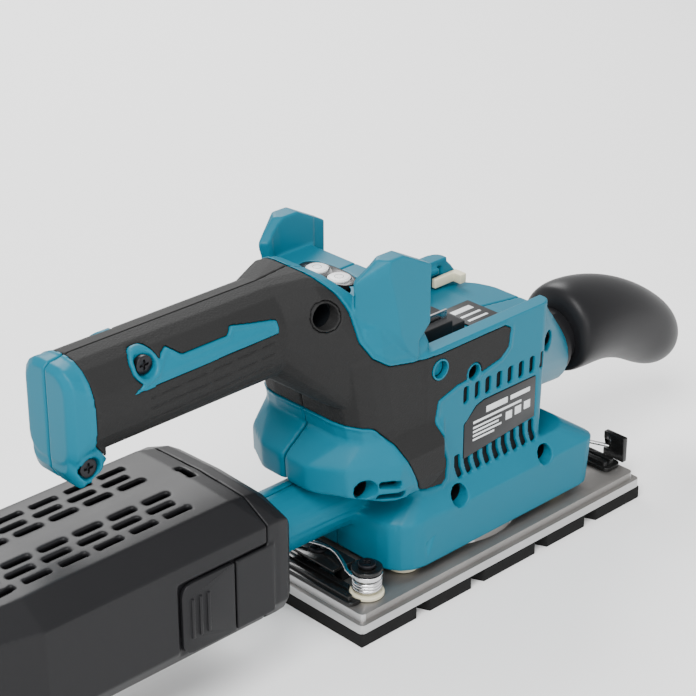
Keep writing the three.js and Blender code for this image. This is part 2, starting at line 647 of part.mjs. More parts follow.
// ---------------------------------------------------------------- front grip
const GRIP_NECK_RINGS = 3;      // these stand upright, the rest follow the bend
const GRIP_PATH = [
  [NOSE_X + 8, 76, 17.6], [NOSE_X + 9.5, 76.8, GRIP_R - 1.9], [NOSE_X + 13, 78, GRIP_R - 0.5],
  [NOSE_X + 21, 78.2, GRIP_R], [NOSE_X + 34, 76.6, GRIP_R - 0.9], [NOSE_X + 47, 72.6, GRIP_R - 2],
  [NOSE_X + 59, 67.2, GRIP_R - 2.9], [NOSE_X + 69, 61.4, GRIP_R - 3.8], [NOSE_X + 78, 55, GRIP_R - 4.6],
  [NOSE_X + 85.5, 48.8, GRIP_R - 7], [NOSE_X + 90, 45, GRIP_R - 10.8], [NOSE_X + 92, 43.2, GRIP_R - 16]];

function frontGrip() {
  const rings = GRIP_PATH.map(([x, z, r], i) => {
    const before = GRIP_PATH[Math.max(0, i - 1)];
    const after = GRIP_PATH[Math.min(GRIP_PATH.length - 1, i + 1)];
    const tilt = i < GRIP_NECK_RINGS ? 0 : Math.atan2(after[1] - before[1], after[0] - before[0]);
    return Array.from({ length: 16 }, (_, k) => {
      const a = (k / 16) * 2 * Math.PI;
      const up = r * Math.sin(a);
      return new THREE.Vector3(x - up * Math.sin(tilt), r * Math.cos(a), z + up * Math.cos(tilt));
    });
  });
  const bore = cylinderX(NOSE_X - 5, NOSE_X + 30, 0, NOSE_Z, SCREW_R + 0.5 + FIT, 12);
  return loft(rings).subtract(bore);
}

function gripCollar() {
  const flange = cylinderX(NOSE_X + GAP, NOSE_X + 4, 0, NOSE_Z + 1, GRIP_NECK_R + 0.4, 24);
  const neck = cylinderX(NOSE_X + 3, NOSE_X + 8 - GAP, 0, NOSE_Z + 2.5, GRIP_NECK_R - 1, 24);
  const spigot = cylinderX(NOSE_X - 12, NOSE_X + 1, 0, NOSE_Z, GRIP_NECK_R - 3, 24);
  const bore = cylinderX(NOSE_X - 20, NOSE_X + 12, 0, NOSE_Z, SCREW_R + 0.5 + FIT, 12);
  return union(flange, neck, spigot).subtract(bore);
}

function gripBolt() {
  const shank = cylinderX(NOSE_X - 13, NOSE_X + 28, 0, NOSE_Z, SCREW_R + 0.5, 12);
  return union(shank, cylinderX(NOSE_X - 16, NOSE_X - 12 - GAP, 0, NOSE_Z, 5, 6));
}

// ---------------------------------------------------------------- controls
function controlPanel() {
  const plate = panelOval(DECK_Z - PANEL_THICKNESS, DECK_Z + 0.3, 0);
  return plate.subtract(union(...buttonPlaces().map((y) =>
    cylinder(PANEL_X, y, 100, 200, BUTTON_R + FIT, 20))));
}

const buttonPlaces = () => [BUTTON_SPACING / 2, -BUTTON_SPACING / 2];

function button(y) {
  const top = DECK_Z + 0.3 + BUTTON_PROUD;
  const cap = cylinder(PANEL_X, y, DECK_Z - PANEL_THICKNESS, top - 0.4, BUTTON_R, 20);
  const crown = cylinder(PANEL_X, y, top - 0.6, top, BUTTON_R - 0.2, 20, BUTTON_R - 0.7);
  const stemEnd = switchTop() + BUTTON_TRAVEL + 0.2;
  const stem = cylinder(PANEL_X, y, stemEnd, DECK_Z - PANEL_THICKNESS + 0.2, 1.6, 8);
  return union(cap, crown, stem);
}

const switchTop = () => DECK_Z - 8;

function switchBoard() {
  const board = box(PANEL_X - 5.5, PANEL_X + 5.5, -12, 12, switchTop() - 4, switchTop() - 2.4);
  const domes = buttonPlaces().map((y) =>
    box(PANEL_X - 3, PANEL_X + 3, y - 3, y + 3, switchTop() - 2.6, switchTop()));
  return union(board, ...domes);
}

// ---------------------------------------------------------------- battery bay pieces
function terminalBlock() {
  const base = box(BAY_REAR + GAP + 0.3, -6, -14, 14, BAY_FLOOR_Z + GAP, BAY_FLOOR_Z + 9);
  const step = box(-8, 4, -12, 12, BAY_FLOOR_Z + GAP, BAY_FLOOR_Z + 5);
  const slots = [-8, 0, 8].map((y) =>
    box(-30, -5, y - 1.2, y + 1.2, BAY_FLOOR_Z + 5.5, BAY_FLOOR_Z + 12));
  return union(base, step).subtract(union(...slots));
}

function terminalBlade(y) {
  return box(-29, -4, y - 0.5, y + 0.5, BAY_FLOOR_Z + 5.8, BAY_FLOOR_Z + 12);
}

function bayLabel() {
  return prismZ([[8, -17], [27, -17], [27, 8], [8, 8]], BAY_FLOOR_Z + GAP, BAY_FLOOR_Z + GAP + 0.6);
}

function railDamper() {
  const y = BAY_HALF_WIDTH - GAP;
  const z = BAY_FLOOR_Z + GAP;
  const arm = box(24, 40, y - 2.4, y, z + 1, z + 5.7);
  const toe = box(36, 40, y - 7, y - 1, z + 1, z + 5.7);
  return union(arm, toe);
}

function ratingLabel() {
  const plate = labelRecess(-1, 0.9, 0);
  return plate.intersect(box(-HUGE, HUGE, -COLUMN_HALF_WIDTH - 0.05, 0, 0, HUGE));
}

function controllerBoard() {
  const potting = box(-70, -50, -20, 20, 71, 80);
  const lugs = [-12, 0, 12].map((y) => cylinder(-60, y, 79, 84, 2.2, 8));
  return union(potting, ...lugs);
}

// ---------------------------------------------------------------- motor and drive
function ring(z0, z1, inner, outer, sides = SEAT_SIDES) {
  return cylinder(0, 0, z0, z1, outer, sides).subtract(cylinder(0, 0, z0 - 1, z1 + 1, inner, sides));
}

function stator() {
  const core = ring(STATOR_Z, STATOR_TOP, ROTOR_R + AIR_GAP, STATOR_R);
  const slots = Array.from({ length: 6 }, (_, i) => {
    const a = ((i + 0.5) / 6) * 2 * Math.PI;
    return cylinder(19.5 * Math.cos(a), 19.5 * Math.sin(a), STATOR_Z - 1, STATOR_TOP + 1, 3.2, 8);
  });
  return core.subtract(union(...slots));
}

function bearingPlate() {
  const z0 = LOWER_BEARING_Z - 1.5;
  const z1 = LOWER_BEARING_Z + BEARING_WIDTH + 1.5;
  const disc = cylinder(0, 0, z0, z1, BEARING_PLATE_R, SEAT_SIDES);
  const pocket = cylinder(0, 0, LOWER_BEARING_Z - GAP, z1 + 1, LOWER_BEARING_R + GAP, SEAT_SIDES);
  const relief = ring(z0 - 1, z0 + 6, LOWER_BEARING_R + 4, BEARING_PLATE_R - 3);
  return disc.subtract(union(pocket, relief, cylinder(0, 0, 0, 200, SHAFT_HOLE_R + 2, 12)));
}

function rotorCore() {
  return ring(STATOR_Z, STATOR_TOP, SHAFT_HOLE_R, ROTOR_R);
}

function motorShaft() {
  const body = cylinder(0, 0, WEIGHT_Z - 0.5, SHAFT_TOP, SHAFT_R, SEAT_SIDES);
  const end = cylinder(0, 0, SHAFT_TOP - 0.2, SHAFT_TOP + 0.8, SHAFT_R - 0.2, SEAT_SIDES, SHAFT_R - 1);
  return union(body, end);
}

function eccentric() {
  const pin = cylinder(ORBIT_R, 0, PAD_BEARING_Z + 0.6, ECCENTRIC_Z + 0.5, CRANK_PIN_R, SEAT_SIDES);
  const seat = cylinder(0, 0, ECCENTRIC_Z, WEIGHT_Z + COUNTERWEIGHT_THICKNESS, SHAFT_R + 5, 20);
  const sector = cylinder(0, 0, WEIGHT_Z, WEIGHT_Z + COUNTERWEIGHT_THICKNESS, COUNTERWEIGHT_R, 24)
    .intersect(box(-HUGE, -4, -HUGE, HUGE, 0, 200));
  const bore = cylinder(0, 0, WEIGHT_Z - 0.5 - GAP, 200, SHAFT_HOLE_R, SEAT_SIDES);
  return union(pin, seat, sector).subtract(bore);
}

function fan() {
  const hub = ring(FAN_Z, FAN_Z + FAN_HEIGHT, SHAFT_HOLE_R, SHAFT_R + 4.5);
  const disc = ring(FAN_Z + FAN_HEIGHT - 1.5, FAN_Z + FAN_HEIGHT, SHAFT_HOLE_R, FAN_R, 24);
  const blades = Array.from({ length: FAN_BLADES }, (_, i) => {
    const turn = (i / FAN_BLADES) * 360;
    return box(SHAFT_R + 6, FAN_R - 0.5, -0.8, 0.8, FAN_Z, FAN_Z + FAN_HEIGHT - 1).rotate([0, 0, 14])
      .translate([-1, -3.4, 0]).rotate([0, 0, turn]);
  });
  return union(hub, disc, ...blades);
}

// ---------------------------------------------------------------- pad
function notch(side, x) {
  const y = side * PAD_Y;
  const inner = y - side * NOTCH_DEPTH;
  const half = NOTCH_WIDTH / 2;
  const turned = (px) => (side < 0 ? px : 2 * x - px);
  const outline = [[x - half, y + side], [x - half + 1.5, inner], [x + half - 1, inner],
    [x + half + 2, y + side]].map(([px, py]) => [turned(px), py]);
  return prismZ(outline, -1, FOAM_THICKNESS + 1);
}

const notchPlaces = () => [-0.605, -0.23, 0.23, 0.605].map((share) => share * PAD_X);
const dustHolePlaces = () => [-0.72, -0.36, 0.36, 0.72].flatMap((share) =>
  [-1, 1].map((side) => [share * PAD_X, side * PAD_WIDTH * 0.24]));

function foamPad() {
  const slab = box(-PAD_X, PAD_X, -PAD_Y, PAD_Y, 0, FOAM_THICKNESS);
  const notches = notchPlaces().flatMap((x) => [notch(-1, x), notch(1, x)]);
  const holes = dustHolePlaces().map(([x, y]) => cylinder(x, y, -1, 20, DUST_HOLE_R, 8));
  return slab.subtract(union(...notches, ...holes));
}

function basePlate() {
  const inset = PLATE_STEP_INSET;
  const flange = prismZ(roundedRect(-PAD_X, PAD_X, -PAD_Y, PAD_Y, 2.2, 3), PLATE_Z, PLATE_Z + PLATE_FLANGE);
  const step = prismZ(roundedRect(-PAD_X + inset, PAD_X - inset, -PAD_Y + inset, PAD_Y - inset, 2.2, 3),
    PLATE_Z + PLATE_FLANGE - 0.5, PLATE_TOP);
  const hub = cylinder(0, 0, PLATE_TOP - 0.5, HUB_TOP, PLATE_HUB_R, 40, PLATE_HUB_R - 1.2);
  const boss = cylinder(0, 0, HUB_TOP - 0.5, PAD_BEARING_Z + PAD_BEARING_WIDTH, PAD_BEARING_R + 4, 24);
  const pocket = cylinder(ORBIT_R, 0, PAD_BEARING_Z - GAP, 100, PAD_BEARING_R + GAP, SEAT_SIDES);
  const holes = dustHolePlaces().map(([x, y]) => cylinder(x, y, -1, 100, DUST_HOLE_R - 0.5, 8));
  return union(flange, step, hub, boss).subtract(union(pocket, ...holes));
}

function padBearing() {
  return ring(PAD_BEARING_Z, PAD_BEARING_Z + PAD_BEARING_WIDTH, CRANK_PIN_R + FIT, PAD_BEARING_R)
    .translate([ORBIT_R, 0, 0]);
}

function pillar(x, y) {
  const footTop = PLATE_TOP + BASE_GAP - 1;
  const foot = cylinder(x, y, PLATE_TOP + GAP, footTop, PILLAR_R, 20, PILLAR_R - 1);
  const stem = cylinder(x, y, footTop - 0.5, PLATE_TOP + PILLAR_HEIGHT, PILLAR_STEM_R, 12);
  return union(foot, stem);
}

const CORNERS = [[-1, -1, "rear_right"], [-1, 1, "rear_left"], [1, -1, "front_right"], [1, 1, "front_left"]];
const pillarPlaces = () => CORNERS.map(([sx, sy, name]) =>
  [sx * (PAD_X - PILLAR_EDGE[0]), sy * (PAD_Y - PILLAR_EDGE[1]), name]);

function dustSkirt() {
  return ring(HUB_TOP + 0.8, HUB_TOP + 5, 29, 34, 24);
}

// ---------------------------------------------------------------- paper clamps
// The rear clamp is drawn here; the front one is the same turned half a turn about +Z.
const POST_X = -(PAD_X - POST_INSET[0]);
const POST_Y = -(PAD_Y - POST_INSET[1]);
const COIL_Z = PLATE_TOP + 2.4;
const COIL_PITCH = 2 * WIRE_R + 0.15;
const COIL_TOP = COIL_Z + COIL_TURNS * COIL_PITCH;
const LEVER_Z = COIL_TOP + WIRE_R + 0.2;

function clampPost() {
  const foot = cylinder(POST_X, POST_Y, PLATE_TOP + GAP, COIL_Z - GAP, COIL_R + WIRE_R + 0.7, 24);
  const post = cylinder(POST_X, POST_Y, COIL_Z - 0.6, LEVER_Z - WIRE_R - 0.2 - GAP, POST_R, 20);
  return union(foot, post).subtract(cylinder(POST_X, POST_Y, PLATE_TOP + 3, 100, SCREW_R + FIT, 12));
}

// the coils stand as one barrel with a groove between turns
function clampSpring() {
  const outline = [[COIL_R - WIRE_R, COIL_Z]];
  for (let i = 0; i < COIL_TURNS; i++) {
    const z = COIL_Z + i * COIL_PITCH;
    const flank = COIL_R + WIRE_R * 0.6;
    outline.push([flank, z], [COIL_R + WIRE_R, z + WIRE_R], [flank, z + 2 * WIRE_R]);
  }
  outline.push([COIL_R - WIRE_R, COIL_TOP - 0.15]);
  outline.push(outline[0]);
  const geometry = new THREE.LatheGeometry(outline.map(([r, z]) => new THREE.Vector2(r, z)), 14);
  geometry.rotateX(Math.PI / 2).translate(POST_X, POST_Y, 0);
  return toSolid(geometry);
}

function postWasher() {
  const z = LEVER_Z + WIRE_R + 0.2;
  return cylinder(POST_X, POST_Y, z + GAP, z + 2.2, COIL_R + WIRE_R, 24)
    .subtract(cylinder(POST_X, POST_Y, 0, 100, SCREW_R + FIT, 12));
}

function postScrew() {
  const z = LEVER_Z + WIRE_R + 2.4 + GAP;
  const head = cylinder(POST_X, POST_Y, z, z + 1.8, SCREW_HEAD_R, 20);
  const shank = cylinder(POST_X, POST_Y, PLATE_TOP + 3.6, z + 0.2, SCREW_R, 12);
  const cross = union(box(POST_X - 2, POST_X + 2, POST_Y - 0.5, POST_Y + 0.5, z + 0.8, z + 3),
    box(POST_X - 0.5, POST_X + 0.5, POST_Y - 2, POST_Y + 2, z + 0.8, z + 3));
  return union(head, shank).subtract(cross);
}

function clampLever() {
  const eye = cylinder(POST_X, POST_Y, LEVER_Z - WIRE_R, LEVER_Z + WIRE_R, COIL_R + WIRE_R, 20)
    .subtract(cylinder(POST_X, POST_Y, 0, 100, COIL_R - WIRE_R, 20));
  const at = (x, y, z) => new THREE.Vector3(POST_X + x, POST_Y + y, z);
  const path = [at(-COIL_R, 0.5, LEVER_Z), at(-COIL_R + 0.4, 6, LEVER_Z), at(-1.5, 14, LEVER_Z + 0.4),
    at(2, 25, LEVER_Z + 0.4), at(-1.5, 38, LEVER_Z), at(-10, 50, LEVER_Z - 3), at(-18.5, 58, LEVER_Z - 6)];
  const arm = wire(path, WIRE_R, 6, 18);
  return union(eye, arm);
}

function leverCap() {
  const x = -PAD_X - 3;
  const grip = hull([[x - 1.5, 22], [x + 1.5, 22], [x - 1.5, 34.5], [x + 1.5, 34.5]].flatMap(([px, py]) =>
    [new THREE.Vector3(px, py, PLATE_TOP - 1), new THREE.Vector3(px, py, PLATE_TOP + 12)]));
  return grip.subtract(leverTipRoom());
}

// room for the wire's end inside the cap
function leverTipRoom() {
  const x = POST_X - 18.5;
  const y = POST_Y + 58;
  const z = LEVER_Z - 6;
  return box(x - WIRE_R - GAP, x + WIRE_R + 4, y - 8, y + 1.2, z - WIRE_R - GAP, z + WIRE_R + 2.5);
}

function clampBar() {
  const x0 = -PAD_X + PLATE_STEP_INSET + 0.2;
  const half = PAD_Y - 9.5;
  const z = PLATE_TOP + GAP;
  const strip = prismZ(roundedRect(x0, x0 + CLAMP_BAR_DEPTH, -half, half, 3, 3), z, z + 1.8);
  const ribs = [1.6, 6.2].map((dx) => prismZ(roundedRect(x0 + dx, x0 + dx + 3, -half + 3, half - 3, 1.4, 2),
    z + 1.5, z + 3.4));
  const room = cylinder(POST_X, POST_Y, 0, 100, COIL_R + WIRE_R + 1.6, 28);
  return union(strip, ...ribs).subtract(room);
}

// bridge over the clamp bar's hinge, cut short so that the orbiting pad can't carry it into the housing
function clampPlate() {
  const x0 = -PAD_X + PLATE_STEP_INSET + CLAMP_BAR_DEPTH + 1;
  const x1 = -(BASE_FRONT + ORBIT_DIAMETER + 0.8);
  const z = PLATE_TOP + GAP;
  const roof = box(x0 - 5, x1, -19, 10, LEVER_Z - WIRE_R - 2.8, LEVER_Z - WIRE_R - 1.2);
  const legs = [[-19, -14], [5, 10]].map(([y0, y1]) => box(x0, x1, y0, y1, z, LEVER_Z - WIRE_R - 2));
  return union(roof, ...legs);
}

// ---------------------------------------------------------------- dust box
function boxSection(x, d, top = BOX_TOP, halfWidth = BOX_HALF_WIDTH, lid = BOX_LID_HALF_WIDTH,
  low = BOX_BOTTOM) {
  const crease = Math.min(BOX_CREASE_Z, top - 5);
  const half = [[0, top + 1 - d], [lid - d, top - d], [halfWidth - d, crease - 0.5 * d],
    [halfWidth - d, low + 9], [halfWidth - 3 - 0.6 * d, low + 3 + 0.6 * d], [halfWidth - 9, low + d]];
  const left = half.map(([y, z]) => new THREE.Vector3(x, y, z));
  const right = half.slice(1).reverse().map(([y, z]) => new THREE.Vector3(x, -y, z));
  return [...left, ...right];
}

function boxForm(d) {
  const nozzle = loft([
    boxSection(BOX_FRONT - d, d, 71, 31, 20, BOX_BOTTOM + 1),
    boxSection(BOX_FRONT - 2 - d, d, 77, 38, 24, BOX_BOTTOM),
    boxSection(BOX_FRONT - 6 - d, d, 82.5, BOX_HALF_WIDTH - 0.5, 26, BOX_BOTTOM),
    boxSection(BOX_FRONT - 11 - d, d, 85.5, BOX_HALF_WIDTH, 27.5),
    boxSection(BOX_SEAM, d, 86.5, BOX_HALF_WIDTH, 28)]);
  const body = loft([
    boxSection(BOX_SEAM + 0.01, d, 86.5, BOX_HALF_WIDTH, 28),
    boxSection(BOX_SEAM - 8, d, 88),
    boxSection(BOX_REAR + 34, d, 88),
    boxSection(BOX_REAR + 12 + d, d, 86.5, 37, 26),
    boxSection(BOX_REAR + 3 + d, d, 82, 29, 21, BOX_BOTTOM + 3),
    boxSection(BOX_REAR + d, d, 76, 21, 15, BOX_BOTTOM + 8)]);
  return { nozzle, body };
}

function dustCase() {
  const outer = boxForm(0).body;
  const inner = boxForm(BOX_WALL).body;
  const mouth = inner.intersect(box(BOX_SEAM - 6, HUGE, -HUGE, HUGE, 0, HUGE));
  const shell = outer.subtract(union(inner, mouth.translate([6, 0, 0])));
  return shell.subtract(union(...lidSlots(), latchRecess(-1), latchRecess(1)));
}

function lidSlots() {
  const catchWindow = box(BOX_SEAM - 8, BOX_SEAM - 4, -4, 6, BOX_TOP - 8, BOX_TOP + 8);
  const rows = [0.27, 0.5, 0.73].flatMap((share) => [-share, share]);
  return [catchWindow, ...rows.flatMap((share, k) => {
    const y = share * BOX_LID_HALF_WIDTH;
    return Array.from({ length: 6 }, (_, i) => {
      const x = BOX_SEAM - 22 - i * 17 - (Math.floor(k / 2) % 2) * 3;
      return box(x - 12.5, x, y - 1.5, y + 1.5, BOX_TOP - 8, BOX_TOP + 8);
    });
  })];
}

function dustNozzle() {
  const outer = boxForm(0).nozzle.intersect(box(BOX_SEAM + GAP, HUGE, -HUGE, HUGE, 0, HUGE));
  const inner = boxForm(BOX_WALL).nozzle.intersect(box(-HUGE, BOX_FRONT - 3.4, -HUGE, HUGE, 0, HUGE));
  const back = inner.intersect(box(-HUGE, BOX_SEAM + 4, -HUGE, HUGE, 0, HUGE)).translate([-3, 0, 0]);
  const sleeve = cylinderX(BOX_SEAM + GAP, BOX_FRONT + 4, 0, PORT_Z, PORT_R + GAP + SLEEVE_WALL, 24);
  const socket = cylinderX(PORT_END - GAP, BOX_FRONT + 30, 0, PORT_Z, PORT_R + GAP, 24);
  const duct = cylinderX(-HUGE, BOX_FRONT, 0, PORT_Z, PORT_R - PORT_WALL, 24);
  const body = union(outer.subtract(union(inner, back)), sleeve, nozzlePlate(-1), nozzlePlate(1));
  return body.subtract(union(socket, duct));
}

const latchRear = BOX_SEAM - LATCH_FROM_SEAM - LATCH_LENGTH;
const latchFront = BOX_SEAM - LATCH_FROM_SEAM;

function latchRecess(side) {
  const y = side * BOX_HALF_WIDTH;
  const [inner, outer] = [y - side * 1.3, y + side * 3];
  return box(latchRear - 1, BOX_SEAM + 5, Math.min(inner, outer), Math.max(inner, outer),
    LATCH_LOW - 1, LATCH_HIGH + 1);
}

// side plate of the nozzle that reaches back to the latch
function nozzlePlate(side) {
  const y = side * BOX_HALF_WIDTH;
  const [inner, outer] = [y - side * (1.3 - GAP), y + side * 0.7];
  return box(latchFront + 1, BOX_SEAM + 3, Math.min(inner, outer), Math.max(inner, outer),
    LATCH_LOW, LATCH_HIGH);
}

function dustLatch(side) {
  const y = side * BOX_HALF_WIDTH;
  const base = roundedRect(latchRear, latchFront, LATCH_LOW, LATCH_HIGH, [5, 1, 1, 5], 3);
  const inner = y - side * (1.3 - GAP);
  const outer = y + side * 0.8;
  const crest = y + side * 1.7;
  const root = y + side * 0.4;
  const tab = prismY(base, Math.min(inner, outer), Math.max(inner, outer));
  const middle = (LATCH_LOW + LATCH_HIGH) / 2;
  const ribs = [0, 1, 2].map((i) => box(latchRear + 4 + i * 4, latchRear + 5.6 + i * 4,
    Math.min(root, crest), Math.max(root, crest), middle - 9, middle + 9));
  return union(tab, ...ribs);
}

function dustFilter() {
  const pleats = Array.from({ length: 9 }, (_, i) => [BOX_SEAM - 12 - i * 12, i % 2 ? 70 : 78]);
  const outline = [...pleats, ...pleats.slice().reverse().map(([x, z]) => [x, z - 1.6])];
  return prismY(outline, -BOX_LID_HALF_WIDTH + 5, BOX_LID_HALF_WIDTH - 5);
}

// ---------------------------------------------------------------- materials
const finish = (color, roughness, metalness = 0) =>
  new THREE.MeshStandardMaterial({ color, roughness, metalness });
const TEAL = finish(0x1f8ba6, 0.45);
const SOFT_BLACK = finish(0x3a3a3a, 0.85);
const BLACK_PLASTIC = finish(0x2c2c2e, 0.5);
const WHITE_PLASTIC = finish(0xe6e6e4, 0.4);
const CREAM_RUBBER = finish(0xe4dcae, 0.6);
const ALUMINIUM = finish(0xb9b9b5, 0.35, 1);
const STEEL = finish(0xc8c8ca, 0.25, 1);
const BLACK_STEEL = finish(0x24242a, 0.35, 0.7);
const COPPER = finish(0xb36b3c, 0.4, 1);
const FOAM = finish(0x1d1d1d, 0.95);
const BOARD_GREEN = finish(0x1c5a3a, 0.6);
const FELT = finish(0xd8d5c8, 0.95);

const sander = new THREE.Group();

function place(name, solid, material, parent = sander) {
  const mesh = new THREE.Mesh(toGeometry(solid), material);
  mesh.name = name;
  parent.add(mesh);
  return mesh;
}

// ---------------------------------------------------------------- assembly
function addHousing() {
  const [right, left] = housing();
  place("housing_right", right, TEAL);
  place("housing_left", left, TEAL);
  const [skinRight, skinLeft] = overmould();
  place("overmould_right", skinRight, SOFT_BLACK);
  place("overmould_left", skinLeft, SOFT_BLACK);
  SCREWS.forEach((screw) => place(screw.name, screwSolid(screw), BLACK_STEEL));
  place("rating_label", ratingLabel(), BLACK_PLASTIC);
  place("dust_skirt", dustSkirt(), FELT);
}

function addGripAndControls() {
  place("front_grip", frontGrip(), SOFT_BLACK);
  place("grip_collar", gripCollar(), BLACK_PLASTIC);
  place("grip_bolt", gripBolt(), STEEL);
  place("control_panel", controlPanel(), BLACK_PLASTIC);
  const [powerY, speedY] = buttonPlaces();
  place("power_button", button(powerY), WHITE_PLASTIC);
  place("speed_button", button(speedY), WHITE_PLASTIC);
  place("switch_board", switchBoard(), BOARD_GREEN);
}

function addElectrics() {
  place("terminal_block", terminalBlock(), BLACK_PLASTIC);
  place("terminal_blade_left", terminalBlade(8), STEEL);
  place("terminal_blade_right", terminalBlade(-8), STEEL);
  place("bay_label", bayLabel(), BLACK_PLASTIC);
  place("rail_damper", railDamper(), CREAM_RUBBER);
  place("controller_board", controllerBoard(), BOARD_GREEN);
}

function addDrive() {
  place("stator", stator(), COPPER);
  place("bearing_plate", bearingPlate(), ALUMINIUM);
  const bearing = (z, r) => ring(z, z + BEARING_WIDTH, SHAFT_HOLE_R, r);
  place("lower_bearing", bearing(LOWER_BEARING_Z, LOWER_BEARING_R), STEEL);
  place("upper_bearing", bearing(UPPER_BEARING_Z, UPPER_BEARING_R), STEEL);
  place("motor_shaft", motorShaft(), STEEL);
  place("rotor_core", rotorCore(), BLACK_STEEL);
  place("cooling_fan", fan(), WHITE_PLASTIC);
  place("eccentric_weight", eccentric(), STEEL);
}

function addPad() {
  place("pad_bearing", padBearing(), STEEL);
  place("base_plate", basePlate(), ALUMINIUM);
  place("foam_pad", foamPad(), FOAM);
  pillarPlaces().forEach(([x, y, name]) => place(`pillar_${name}`, pillar(x, y), CREAM_RUBBER));
}

function addClamp(end, turn) {
  const group = new THREE.Group();
  group.rotation.z = turn;
  sander.add(group);
  place(`${end}_clamp_post`, clampPost(), CREAM_RUBBER, group);
  place(`${end}_clamp_spring`, clampSpring(), STEEL, group);
  place(`${end}_post_washer`, postWasher(), BLACK_STEEL, group);
  place(`${end}_post_screw`, postScrew(), BLACK_STEEL, group);
  place(`${end}_clamp_lever`, clampLever(), STEEL, group);
  place(`${end}_lever_cap`, leverCap(), BLACK_PLASTIC, group);
  place(`${end}_clamp_bar`, clampBar(), BLACK_STEEL, group);
  place(`${end}_clamp_plate`, clampPlate(), BLACK_STEEL, group);
}

function addDustBox() {
  place("dust_nozzle", dustNozzle(), BLACK_PLASTIC);
  place("dust_case", dustCase(), BLACK_PLASTIC);
  place("dust_filter", dustFilter(), FELT);
  place("dust_latch_right", dustLatch(-1), BLACK_PLASTIC);
  place("dust_latch_left", dustLatch(1), BLACK_PLASTIC);
}

addHousing();
addGripAndControls();
addElectrics();
addDrive();
addPad();
addClamp("rear", 0);
addClamp("front", Math.PI);
addDustBox();

export default sander;
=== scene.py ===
"""A cordless third-sheet orbital sander on a pale studio floor, built round its CAD frame.

Everything is in metres in the row frame: the origin is under the middle of the foam pad,
+X runs to the front grip, +Y to the tool's left and +Z up.
"""

import json
from math import pi, radians

import bpy
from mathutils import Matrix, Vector


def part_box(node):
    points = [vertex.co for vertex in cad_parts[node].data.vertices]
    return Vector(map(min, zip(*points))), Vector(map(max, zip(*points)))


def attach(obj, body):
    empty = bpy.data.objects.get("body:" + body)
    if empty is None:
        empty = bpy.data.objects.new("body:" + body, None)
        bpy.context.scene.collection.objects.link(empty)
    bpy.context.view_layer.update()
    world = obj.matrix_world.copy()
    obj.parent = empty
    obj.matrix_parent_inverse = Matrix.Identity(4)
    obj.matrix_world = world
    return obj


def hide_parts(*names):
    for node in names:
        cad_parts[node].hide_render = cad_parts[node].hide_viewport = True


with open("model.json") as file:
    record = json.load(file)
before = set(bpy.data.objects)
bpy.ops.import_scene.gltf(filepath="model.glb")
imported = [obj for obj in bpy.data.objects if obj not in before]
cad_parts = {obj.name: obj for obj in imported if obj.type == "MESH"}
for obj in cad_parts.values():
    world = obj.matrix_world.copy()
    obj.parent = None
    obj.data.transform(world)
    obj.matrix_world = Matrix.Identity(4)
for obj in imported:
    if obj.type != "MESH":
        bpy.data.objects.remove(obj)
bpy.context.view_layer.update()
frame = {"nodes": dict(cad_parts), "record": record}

# ------------------------------------------------------------------ housing halves
# Two glass-filled nylon half shells, injection moulded in teal and screwed together along
# the tool's middle plane.  They carry the motor, the battery bay, the dust port and the
# handle's core.  The skin has a fine spark-eroded grain and every edge a small radius.
MM = 0.001
bodies = frame["record"]["behaviour"]["bodies"]
body_with = {node: body for body, nodes in bodies.items() for node in nodes}


def let_go():
    """Nothing is selected or active in edit mode any more."""
    if bpy.context.object and bpy.context.object.mode != "OBJECT":
        bpy.ops.object.mode_set(mode="OBJECT")
    bpy.ops.object.select_all(action="DESELECT")


def hold(piece):
    """Only this piece is selected, and it is the active one."""
    let_go()
    piece.select_set(True)
    bpy.context.view_layer.objects.active = piece


def copy_of(node, name):
    """A piece of its own with the frame node's shape, its loose triangles joined."""
    piece = bpy.data.objects.new(name, frame["nodes"][node].data.copy())
    bpy.context.collection.objects.link(piece)
    piece.data.materials.clear()
    hold(piece)
    bpy.ops.object.mode_set(mode="EDIT")
    bpy.ops.mesh.select_all(action="SELECT")
    bpy.ops.mesh.remove_doubles(threshold=0.003 * MM)
    bpy.ops.object.mode_set(mode="OBJECT")
    return piece


def add_and_apply(piece, kind, **settings):
    hold(piece)
    modifier = piece.modifiers.new(kind.title(), kind)
    for key, value in settings.items():
        setattr(modifier, key, value)
    bpy.ops.object.modifier_apply(modifier=modifier.name)


def smooth(piece, angle=35):
    hold(piece)
    bpy.ops.object.shade_smooth_by_angle(angle=radians(angle))


def moulded(node, name, cell, passes, most=190000):
    """The node's shape as it leaves a mould: an even skin with its edges rounded."""
    piece = copy_of(node, name)
    add_and_apply(piece, "REMESH", mode="VOXEL", voxel_size=cell, adaptivity=0.0)
    add_and_apply(piece, "SMOOTH", factor=0.5, iterations=passes)
    triangles = 2 * len(piece.data.polygons)
    if triangles > most:
        add_and_apply(piece, "DECIMATE", ratio=most / triangles)
    hold(piece)
    bpy.ops.object.shade_smooth()
    return piece


def stands_for(piece, *nodes):
    """The piece takes the place of these frame nodes, on their body."""
    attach(piece, body_with[nodes[0]])
    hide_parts(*nodes)


